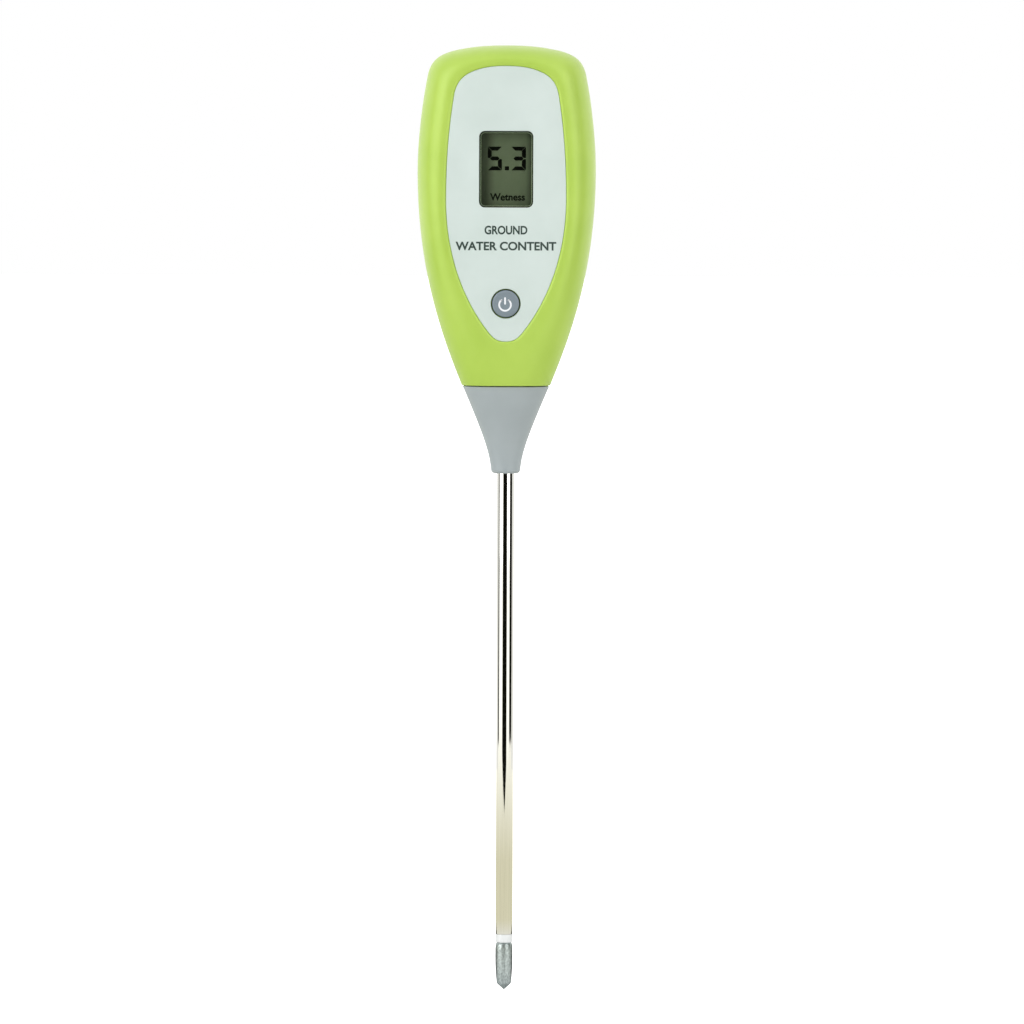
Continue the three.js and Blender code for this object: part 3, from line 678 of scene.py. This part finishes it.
def finger_notch():
    """The hollow above the door, for a fingertip."""
    skin = Skin()
    radius, half_height, y, z = 9, 4.95, 21.6, 287.4  # of an ellipsoid that dips into the back
    turns = np.arange(48) * 2 * math.pi / 48
    rings = []
    for angle in arc(28, -88, 88):
        x, deep, high = radius * math.sin(angle), radius * math.cos(angle), half_height * math.cos(angle)
        rings.append([(x, y + deep * math.cos(t), z + high * math.sin(t)) for t in turns])
    skin.solid(rings)
    return skin


def face_plate():
    skin = Skin()
    edge = 0.18  # the radius of its front edge
    rings = []
    for angle in arc(4):
        inset = edge * (1 - math.cos(angle))
        rings.append(at_depth(outline(PLATE_SIDE, inset), PLATE_FRONT + edge * (1 - math.sin(angle))))
    rings = rings[::-1] + [at_depth(outline(PLATE_SIDE), PLATE_BACK)]
    front, back = skin.walls(rings)
    mouths, ends = [], []
    for rows_at in (window_rows, lambda grow: circle(BUTTON_HOLE + grow, 0, BUTTON_Z)):
        mouth, end = rounded_mouth(skin, rows_at, PLATE_FRONT, 1, 0.22, PLATE_BACK)
        mouths.append(mouth)
        ends.append(end)
    skin.fill(front, mouths)
    skin.fill(back, ends)
    return weigh_normals(skin.build("face_panel", PLATE))


def display_lens():
    """The clear window: a border behind the plate, and a bevelled centre that stands in its opening."""
    skin = Skin()
    border, bevel, front = PLATE_BACK + 0.3, -12.2, -12.5
    profile = [(LENS_BORDER, LENS_BACK), (LENS_BORDER, border), (-0.12, border), (-0.12, bevel),
               (-0.55, front)]
    skin.solid([at_depth(window_rows(grow), y) for grow, y in soften(profile, 0.08, 2)])
    return skin.build("display_lens", CLEAR, sharp=25)


def display_glass():
    """The display: a front glass with a chamfered edge, and a shorter rear glass."""
    front_half, rear_half, chamfer = 15.5, 12.5, 0.15
    skin = Skin()

    def glass(half_z, depth, grow=0.0):
        rows = rounded_rectangle((11 + grow, half_z + grow), 0.3, (0, WINDOW_Z))
        return at_depth(rows, LCD_FRONT + depth)

    foot, face = skin.walls([glass(front_half, LCD_LAYER), glass(front_half, chamfer),
                             glass(front_half, 0, -chamfer)])
    rear, back = skin.walls([glass(rear_half, LCD_LAYER), glass(rear_half, 2 * LCD_LAYER)])
    skin.wall(foot, rear)
    skin.cap(face)
    skin.cap(back)
    return skin.build("display_glass", LCD)


def flat_marks(name, polygons, y, material, body="body", thickness=PRINT):
    """Thin printed shapes on a face that looks to -Y, from polygons of (x, z) points."""
    skin = Skin()
    for polygon in polygons:
        rows = np.array(polygon)
        near, far = skin.walls([at_depth(rows, y - thickness), at_depth(rows, y)])
        skin.fill(near)
        skin.fill(far)
    return skin.build(name, material, body)


def display_highlight_line():
    """A painted highlight: a thin pale line lying on the display just inside the window, which stands for
    the glint along the clear window's bevelled edge.
    """
    skin = Skin()
    outer, inner = -0.45, -0.6  # outwards from the window
    near, far = LCD_FRONT - PRINT_GAP, LCD_FRONT - PRINT
    rings = [at_depth(window_rows(grow), y) for grow, y in
             [(outer, near), (outer, far), (inner, far), (inner, near)]]
    skin.hoop(rings)
    return skin.build("display_highlight_line", EDGE_HIGHLIGHT)


def segment_digit(lit, left, bottom, w, h):
    """The lit segments of a seven-segment digit w wide and h high, with slanted ends."""
    s, g = 1.25, 0.09  # the stroke, and about half the gap between two segments
    half = h / 2
    shapes = {
        "a": [(g, h), (w - g, h), (w - s - g, h - s), (s + g, h - s)],
        "g": [(g + s * 0.5, half), (s + g, half + s / 2), (w - s - g, half + s / 2),
              (w - g - s * 0.5, half), (w - s - g, half - s / 2), (s + g, half - s / 2)],
        "f": [(0, h - g), (s, h - s - g), (s, half + s / 2 + g), (s * 0.5, half + g * 1.5),
              (0, half + g * 2.5)],
    }
    flip_x = lambda points: [(w - x, z) for x, z in points]
    flip_z = lambda points: [(x, h - z) for x, z in points]
    shapes["b"] = flip_x(shapes["f"])
    shapes["c"] = flip_z(shapes["b"])
    shapes["d"] = flip_z(shapes["a"])
    return [[(left + x, bottom + z) for x, z in shapes[key]] for key in lit]


def reading():
    """The display's sample reading, 5.3."""
    bottom, height = 265.0, 7.55
    shapes = segment_digit("afgcd", -5.94, bottom, 4.5, height)
    shapes += segment_digit("abgcd", 1.55, bottom, 4.7, height)
    shapes.append(rounded_rectangle((0.66, 0.64), 0.25, (0.2, 265.66), steps=3))
    return flat_marks("display_reading", shapes, LCD_FRONT - PRINT_GAP, SEGMENT)


def lettering(name, words, centre, size, y, material, weight):
    """A line of raised print, size wide and high, that looks to -Y."""
    text = bpy.data.curves.new(name, "FONT")
    text.body = words
    text.offset = weight
    text.resolution_u = 6
    source = add_object(name + "_text", text)
    mesh = mesh_of(source)
    bpy.data.objects.remove(source)
    bm = merged(mesh, 1e-5)
    solid = bmesh.ops.extrude_face_region(bm, geom=bm.faces[:])
    raised = {v for v in solid["geom"] if isinstance(v, bmesh.types.BMVert)}
    flat = np.array([v.co[:2] for v in bm.verts])
    low, high = flat.min(axis=0), flat.max(axis=0)
    for v, row in zip(bm.verts, flat):
        x, z = ((row - low) / (high - low) - 0.5) * size + centre
        v.co = Vector((x, y - (PRINT if v in raised else 0.0), z)) * MM
    bmesh.ops.recalc_face_normals(bm, faces=bm.faces)
    finish_mesh(bm, mesh, 35)
    return add_piece(name, mesh, material, "body")


def push_button():
    """The button's cap with its rounded rim, the flange behind the plate, and the stem."""
    place = lambda x, y, h: (x, -h, BUTTON_Z + y)
    cap, flange = BUTTON_RADIUS, 5.65
    edge = soften([(cap, 9.8), (cap, 13.55), (cap - 0.75, 13.7)], 0.3, 5)
    profile = [(0, 8.2), (1.6, 8.2), (1.6, 8.9), (flange, 8.9), (flange, 9.8), *edge]
    profile += [(cap - 0.95, 13.66), (2.5, 13.6), (1.2, 13.57), (0, -BUTTON_FACE)]
    return revolve("push_button", profile, BUTTON, 96, 40, place=place, body="button")


def power_symbol():
    """The common sign for power: a ring that is open at its top, with a bar in the gap."""
    radius, stroke, half_gap = 1.88, 0.56, 38
    x, z = -0.2, BUTTON_Z - 0.35
    inner, outer = radius - stroke / 2, radius + stroke / 2
    turns = arc(48, 90 + half_gap, 450 - half_gap)
    ring = [(x + r * math.cos(a), z + r * math.sin(a)) for r, angles in
            ((outer, turns), (inner, turns[::-1])) for a in angles]
    bar = rounded_rectangle((stroke / 2, 1.2), stroke / 2 - 0.01, (x, z + 1.25), steps=5)
    ends = [circle(stroke / 2, x + radius * math.cos(a), z + radius * math.sin(a), 20)
            for a in (turns[0], turns[-1])]
    return flat_marks("power_symbol", [ring, bar, *ends], BUTTON_FACE, SYMBOL, "button", 2 * PRINT)


CONE_SIDES = 120


def oval(half_x, half_y, z, power=2.0):
    """An ellipse round the probe's axis, or a fuller ring where power is over 2."""
    turns = np.arange(CONE_SIDES) * 2 * math.pi / CONE_SIDES
    part = lambda v: np.sign(v) * np.abs(v) ** (2 / power)
    return np.column_stack([half_x * part(np.cos(turns)), half_y * part(np.sin(turns)),
                            np.full(CONE_SIDES, z)])


def cone():
    """The nose cone, from its round foot to an oval at the seam, its neck and its bore."""
    across = np.array([(4.72, 168.8), (5.35, 175), (7.35, 180.2), (13.95, CONE_TOP)])
    through = np.array([4.72, 5.1, 6.3, 10.6])
    rings = []
    rounding = 1.2  # the radius of its foot's edge
    for angle in arc(6):
        radius = 3.52 + rounding * math.sin(angle)
        rings.append(oval(radius, radius, CONE_BOTTOM + rounding * (1 - math.cos(angle))))
    for t in np.linspace(0, 1, 41)[1:]:
        weights = np.array([(1 - t) ** 3, 3 * t * (1 - t) ** 2, 3 * t**2 * (1 - t), t**3])
        x, z = weights @ across
        rings.append(oval(x, weights @ through, z, 2 + 0.25 * t))
    x, y = across[-1][0], through[-1]
    rings.pop()
    for inset, drop in ((0.03, 0.16), (0.08, 0.04), (0.2, 0)):
        rings.append(oval(x - inset, y - inset, CONE_TOP - drop, 2.25))

    # the neck and its flange inside the casing, the seal's seat and the bore
    under, top = COLLAR_TOP + 0.3, FLANGE_TOP
    rings += [oval(9, 7, CONE_TOP), oval(9, 7, under), oval(11.6, 8.8, under), oval(11.6, 8.8, top)]
    bore, seal_radius, seal_end = TUBE_RADIUS + 0.03, 4.25, top - 1.8
    for radius, z in [(seal_radius, top), (seal_radius, seal_end), (bore, seal_end),
                      (bore, CONE_BOTTOM + 0.1), (bore + 0.1, CONE_BOTTOM)]:
        rings.append(oval(radius, radius, z))
    skin = Skin()
    skin.hoop(rings)
    return weigh_normals(skin.build("cone", GREY, sharp=40))


def steel_tube():
    foot = RING_TOP + 0.02
    profile = [(TUBE_BORE, foot), (TUBE_RADIUS, foot), (TUBE_RADIUS, 60), (TUBE_RADIUS, 110),
               (TUBE_RADIUS, TUBE_TOP), (TUBE_BORE, TUBE_TOP)]
    return revolve("steel_tube", soften(profile, 0.1, 3, True), CHROME, 128, 60, True)


def white_ring():
    """The insulator that shows between the tube and the tip, and its spigot inside the tube."""
    edge, spigot = TUBE_RADIUS + 0.02, TUBE_BORE - 0.1
    foot, top, spigot_top = TIP_TOP + 0.08, RING_TOP - 0.04, RING_TOP + 8
    profile = [(ROD_BORE, foot), (edge, foot), (edge, top), (spigot, top), (spigot, spigot_top),
               (ROD_BORE, spigot_top)]
    return revolve("white_ring", soften(profile, 0.16, 3, True), WHITE, 96, 60, True)


def pointed_tip():
    """The probe's tip: slightly bellied, with a short point, and a hole for the rod in its top."""
    point = [(0, 0), (0.14, 0.03), (0.32, 0.2), (1.13, 0.95), (1.86, 1.6), (2.25, 2.0), (2.33, 2.25)]
    side = [(2.45, 3.5), (2.55, 4.5), (2.65, 6.1), (2.745, 7.7), (2.78, 9.3), (2.785, 11.3), (2.775, 13.2),
            (2.7, 14.5), (2.52, 15.1), (2.15, TIP_TOP)]
    hole_end = TIP_TOP - 7
    profile = [*point, *side, (ROD_BORE, TIP_TOP), (ROD_BORE, hole_end), (0, hole_end)]
    return revolve("pointed_tip", profile, TIP, 96, 38)


def rounded_door():
    """The battery door: a slab with a round lower edge on its hinge line, hooks and a latch ridge."""
    edge = REAR_DEPTH - HINGE[0]
    side = [(DOOR_INNER, DOOR_TOP), (REAR_DEPTH, DOOR_TOP)]
    side += [(HINGE[0] + edge * math.cos(a), HINGE[1] - edge * math.sin(a)) for a in arc(16, 0, 180)]
    skin = Skin()
    corner, middle_z = 0.22, 240
    left = [(-DOOR_HALF, corner), (-DOOR_HALF + corner * 0.3, corner * 0.3), (-DOOR_HALF + corner, 0)]
    rings = []
    for x, shrink in left + [(-x, shrink) for x, shrink in left[::-1]]:
        rings.append([(x, y + shrink * (1 if y < HINGE[0] else -1), z - shrink * (1 if z > middle_z else -1))
                      for y, z in side])
    skin.solid(rings)
    door = skin.build("rounded_door", GREEN, "door", 40)
    parts = [block((-4, 11.3, TUB_TOP - 1.1), (4, DOOR_INNER + 0.3, TUB_TOP - 0.4))]
    for x in (-HOOK_X, HOOK_X):
        left_x, right_x, back = x - 1.5, x + 1.5, 11.0
        parts.append(block((left_x, back, 230.6), (right_x, DOOR_INNER + 0.3, 232.2)))
        parts.append(block((left_x, back, 228.6), (right_x, 11.7, 231)))
    cut(door, parts, "UNION", 40)
    return door


def case_screw(number, x, z):
    place = lambda a, b, h: (x + a, h, z + b)
    seat = CASE_SCREW_SEAT + 0.02
    shank, head_radius, end = 1.1, 2.2, seat - 10.4
    head = soften([(shank, seat), (head_radius, seat), (head_radius, seat + 0.9), (1.3, seat + 1.6),
                   (0, seat + 1.65)], 0.25, 4)
    profile = [(0, end), (0.4, end), (shank, seat - 8.7), *head]
    obj = revolve(f"case_screw_fine_{number}", profile, STEEL, 40, 40, place=place)
    apply_modifiers(obj)
    long, narrow = 1.25, 0.32  # the halves of the cross slot's length and width
    bottom, top = seat + 0.7, seat + 3
    arms = (long, narrow), (narrow, long)
    cut(obj, [block((x - a, bottom, z - b), (x + a, top, z + b)) for a, b in arms])
    return obj


def cell(number, x, up):
    """A dry cell: a wrapped can whose bare ends show, and its terminal."""
    low = CELL_BOTTOM if up else TUB_BOTTOM + TUB_TOP - CELL_BOTTOM
    place = lambda a, b, h: (x + a, CELL_Y + b, low + (h if up else -h))
    r, can = CELL_RADIUS, CELL_LENGTH - 1
    base = [(0, 0.1), (3.4, 0.1), (3.7, 0), (r - 0.7, 0), (r, 0.25)]
    top = [(r, can - 0.25), (r - 0.9, can), (3.0, can - 0.25), (1.95, can - 0.25), (1.9, CELL_LENGTH - 0.1),
           (0, CELL_LENGTH)]
    profile = soften(base + top, 0.2, 3)
    obj = revolve(f"cell_fine_{number}", profile, WRAP, 64, 40, place=place)
    obj.data.materials.append(STEEL)
    for face in obj.data.polygons:
        centre = Vector(face.center) / MM - Vector((x, CELL_Y, 0))
        if math.hypot(centre.x, centre.y) < r - 0.75:
            face.material_index = 1
    return obj


def spring(number, x, foot, up):
    """A coil that narrows towards the cell. up is 1 or -1, the way it goes from its foot."""
    turns, steps, height, wide, narrow = 3.0, 72, 3.6, 3.4, 2.2
    points = []
    for t in np.arange(steps + 1) / steps:
        angle, radius = t * turns * 2 * math.pi, wide - (wide - narrow) * t
        y = CELL_Y + radius * math.sin(angle)
        points.append((x + radius * math.cos(angle), y, foot + up * height * t))
    return sweep(f"spring_fine_{number}", points, 0.3, STEEL)


BATTERY_LEAD = [(5.6, -1.1, 230.6), (6.6, -0.7, 227.5), (8.6, 1, 225), (10.8, 0.9, 222.5), (11.4, -1.1, 220)]
LEADS = {
    "battery_lead_negative": (BATTERY_LEAD, DARK),
    "battery_lead_positive": ([(-x, y, z) for x, y, z in BATTERY_LEAD], RED),
    "tube_lead": ([(5.3, 0.2, 204.6), (7.6, 1.4, 208), (8.8, 1.6, 213), (7.6, -1.1, 218)], DARK),
    "core_lead": ([(-2.9, 0.6, 206.6), (-5.6, 1.8, 208.2), (-8.4, 1.6, 213), (-7.6, -1.1, 218)], RED),
}


# Each line of print: its words, middle, width and height, the face it is on, its ink, weight and slot.
WORDS = {
    "display_word": ("Wetness", (0.4, 256.5), (11.2, 2.35), LCD_FRONT - PRINT_GAP, SEGMENT, 0.026, "lcd"),
    "label_top": ("GROUND", (0, 245.9), (13.7, 2.8), PLATE_FRONT, INK, 0.03, "plate"),
    "label_bottom": ("WATER CONTENT", (0, 240.8), (32.2, 2.8), PLATE_FRONT, INK, 0.03, "plate"),
}


def build_pieces():
    stands_for(front_shell(), "front_cover")
    stands_for(rear_shell(), "rear_cover")
    stands_for(rounded_door(), "battery_door")
    stands_for(face_plate(), "face_plate")
    stands_for(display_lens(), "display_window")
    stands_for(display_glass(), "lcd_panel")
    display_highlight_line()
    seam_tongue()
    reading()
    for name, (*print_values, slot) in WORDS.items():
        lettering(name, *print_values)
    stands_for(push_button(), "power_button")
    power_symbol()
    stands_for(cone(), "nose_cone")
    stands_for(steel_tube(), "probe_tube")
    stands_for(white_ring(), "insulator_ring")
    stands_for(pointed_tip(), "probe_tip")
    for number, (x, z) in enumerate(CASE_SCREWS, 1):
        stands_for(case_screw(number, x, z), f"case_screw_{number}")
    stands_for(cell(1, CELL_X, True), "battery_cell_1")
    stands_for(cell(2, -CELL_X, False), "battery_cell_2")
    stands_for(spring(1, CELL_X, TUB_BOTTOM + 1.3, 1), "battery_spring_1")
    stands_for(spring(2, -CELL_X, TUB_TOP - 1.3, -1), "battery_spring_2")
    for name, (points, material) in LEADS.items():
        slot = "black_wire" if material is DARK else "red_wire"
        stands_for(sweep(name + "_fine", points, 0.45, material), name)


def stands_for(piece, node):
    """Hides a CAD node, whose place a fine piece takes. The piece is not used here."""
    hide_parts(node)


# The CAD nodes that stay, inside the casing, with their materials.
KEPT = {
    WHITE: ["lcd_holder", "switch_plunger"],
    RUBBER: ["zebra_strip_upper", "zebra_strip_lower", "probe_seal"],
    BOARD: ["circuit_board"],
    BLACK: ["meter_chip", "range_resistor", "switch_base", "core_sleeve"],
    CERAMIC: ["filter_capacitor_1", "filter_capacitor_2"],
    STEEL: [*(f"board_screw_{number}" for number in (1, 2, 3, 4)),
            "contact_negative", "contact_positive", "contact_bridge"],
    BRASS: ["core_rod", "tube_terminal", "core_terminal"],
}


def dress_kept_nodes():
    for material, names in KEPT.items():
        for name in names:
            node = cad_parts[name]
            node.data.materials.clear()
            node.data.materials.append(material)


# ---- Camera, floor and light ----
def make_camera():
    """Nearly level with the meter, far off, and a little above it."""
    azimuth, elevation, roll = (math.radians(angle) for angle in (0.7, 3.0, 0.21))
    distance_m, lens = 1.7, 185.1
    target = Vector((0.0021, 0.0, 0.15504))
    data = bpy.data.cameras.new("camera")
    data.lens = lens
    data.sensor_width = 36.0
    camera = add_object("camera", data)
    back = Vector((math.sin(azimuth) * math.cos(elevation), -math.cos(azimuth) * math.cos(elevation),
                   math.sin(elevation)))
    camera.location = target + back * distance_m
    level = (-back).to_track_quat("-Z", "Y").to_matrix()
    camera.rotation_euler = (level @ Matrix.Rotation(roll, 3, "Z")).to_euler()
    bpy.context.scene.camera = camera


def stage_sheet(name, corners_m, faces=None):
    """A flat sheet of the studio. Returns the sheet and its new material's nodes."""
    mesh = bpy.data.meshes.new(name)
    mesh.from_pydata([Vector(c) for c in corners_m], [], faces or [range(len(corners_m))])
    nodes = Nodes(name)
    mesh.materials.append(nodes.material)
    sheet = add_object(name, mesh)
    return sheet, nodes


def make_floor():
    """A pale matt floor, pure white to the camera."""
    far_m = 30.0
    corners_m = [(x * far_m, y * far_m, 0) for x, y in ((-1, -1), (1, -1), (1, 1), (-1, 1))]
    nodes = stage_sheet("floor", corners_m)[1]
    sockets = nodes.shader.inputs
    sockets["Base Color"].default_value = linear("#e6e6e5")
    sockets["Roughness"].default_value = 0.9
    sockets["Emission Color"].default_value = (1, 1, 1, 1)
    path = nodes.add("ShaderNodeLightPath")
    nodes.link(path.outputs["Is Camera Ray"], sockets["Emission Strength"])


def reflected_card(name, corners_m, colour, strength=1.0, faces=None, far=None):
    """A card of even brightness that shows only in gloss, and casts no shadow. far is a second colour,
    and the two distances from the meter between which the card turns to it."""
    sheet, nodes = stage_sheet(name, corners_m, faces)
    sheet.visible_camera = sheet.visible_diffuse = sheet.visible_shadow = False
    nodes.tree.nodes.remove(nodes.shader)
    glow = nodes.add("ShaderNodeEmission", Color=linear(colour), Strength=strength)
    if far:
        far_colour, start_m, end_m = far
        distance = nodes.add("ShaderNodeVectorMath", operation="LENGTH")
        nodes.link(nodes.place, distance.inputs[0])
        mix = nodes.add("ShaderNodeMix", data_type="RGBA", A=linear(colour), B=linear(far_colour))
        nodes.link(nodes.span(distance.outputs["Value"], 0, 1, start_m, end_m), mix.inputs["Factor"])
        nodes.link(mix.outputs["Result"], glow.inputs["Color"])
    nodes.link(glow.outputs["Emission"], nodes.tree.nodes["Material Output"].inputs["Surface"])


def beside(azimuth, distance_m, z_m):
    """The point at an azimuth in degrees round the meter, where 0 is in front of it."""
    angle = math.radians(azimuth)
    return (distance_m * math.sin(angle), -distance_m * math.cos(angle), z_m)


def level_card(name, radii_m, z_m, colour, strength, far=None):
    """A card in the form of a level ring round the meter."""
    sides = 64
    turns = [i * 2 * math.pi / sides for i in range(sides)]
    corners = [(r * math.cos(a), r * math.sin(a), z_m) for r in radii_m for a in turns]
    faces = [(i, (i + 1) % sides, sides + (i + 1) % sides, sides + i) for i in range(sides)]
    reflected_card(name, corners, colour, strength, faces, far)


def upright_card(name, azimuths, distance_m, heights_m, colour, strength=1.0):
    """A card that stands round the meter between two azimuths."""
    steps = round((azimuths[1] - azimuths[0]) / 15)
    turns = np.linspace(*azimuths, steps + 1)
    corners = [beside(azimuth, distance_m, z) for z in heights_m for azimuth in turns]
    faces = [(i, i + 1, steps + 2 + i, steps + 1 + i) for i in range(steps)]
    reflected_card(name, corners, colour, strength, faces)


def dark_floor_card(name, corners):
    """A dark card just over the floor, from (azimuth, distance in metres) corners."""
    reflected_card(name, [beside(*corner, 0.0015) for corner in corners], "#101210")


def softbox(name, azimuth, distance_m, height_m, size_m, power):
    """A square lamp aimed at the meter, which gives light and doesn't show in gloss."""
    data = bpy.data.lights.new(name, "AREA")
    data.shape = "RECTANGLE"
    data.size, data.size_y = size_m
    data.energy = power
    lamp = add_object(name, data)
    lamp.location = beside(azimuth, distance_m, height_m)
    aim = Vector((0, 0, 0.2)) - lamp.location
    lamp.rotation_euler = aim.to_track_quat("-Z", "Y").to_euler()
    lamp.visible_camera = lamp.visible_glossy = False


def make_stage():
    """The floor, the cards that shape the reflections in the metal, the lamps and the backdrop."""
    make_floor()
    level_card("near_floor_card", (0.012, 0.18), 0.001, "#d8d8d4", 1.25, ("#c7c4ab", 0.11, 0.17))
    level_card("floor_card", (0.18, 2.7), 0.001, "#c7c4ab", 1.25, ("#fffffa", 0.35, 0.95))
    left_m, right_m, front_m, top_m, side_foot_m = -0.345, 0.235, -0.53, 0.75, 0.015
    reflected_card("dark_card", [(left_m, front_m, side_foot_m), (0, front_m, 0.0),
                                 (right_m, front_m, side_foot_m), (right_m, front_m, top_m),
                                 (left_m, front_m, top_m)], "#0c0c08")
    upright_card("right_dark_card", (62, 102), 0.83, (-0.1, 1.2), "#141510")
    upright_card("left_dark_card", (-104, -84), 0.83, (-0.1, 1.2), "#141510")
    upright_card("low_back_card", (102, 256), 0.7, (-0.1, 0.14), "#eeeeea")
    upright_card("bright_wall", (-180, 180), 2.4, (-0.2, 3.0), "#fffffa", 1.35)
    upright_card("left_bright_card", (-82, -31), 2.3, (-0.2, 2.0), "#fffffa", 2.4)
    upright_card("right_bright_card", (23, 60), 2.3, (-0.2, 2.0), "#fffffa", 2.2)
    wedge = [(104, 0.015), (104, 0.12), (135, 0.16), (152, 0.12), (152, 0.015)]
    dark_floor_card("left_floor_card", [(-azimuth, distance_m) for azimuth, distance_m in wedge])
    dark_floor_card("right_floor_card", wedge)
    dark_floor_card("back_floor_card", [(166, 0.012), (174, 0.3), (180, 0.9), (186, 0.3), (194, 0.012)])
    level_card("ceiling_card", (0.02, 2.5), 3.0, "#fffffa", 1.2)
    softbox("key_light", -48, 1.2, 0.75, (0.7, 0.7), 5.4)
    softbox("fill_light", 60, 1.2, 0.5, (0.9, 0.9), 2.6)
    make_surroundings(0.68)
    bpy.context.scene.view_settings.view_transform = "Standard"


def make_surroundings(strength):
    """Even light from all round, with a white backdrop for the camera."""
    world = bpy.data.worlds.new("studio")
    world.use_nodes = True
    bpy.context.scene.world = world
    tree = world.node_tree
    path = tree.nodes.new("ShaderNodeLightPath")
    level = tree.nodes.new("ShaderNodeMapRange")
    level.inputs["To Min"].default_value = strength
    tree.links.new(path.outputs["Is Camera Ray"], level.inputs["Value"])
    tree.links.new(level.outputs["Result"], tree.nodes["Background"].inputs["Strength"])
    tree.nodes["Background"].inputs["Color"].default_value = (1, 1, 1, 1)


make_camera()
make_stage()
build_pieces()
dress_kept_nodes()
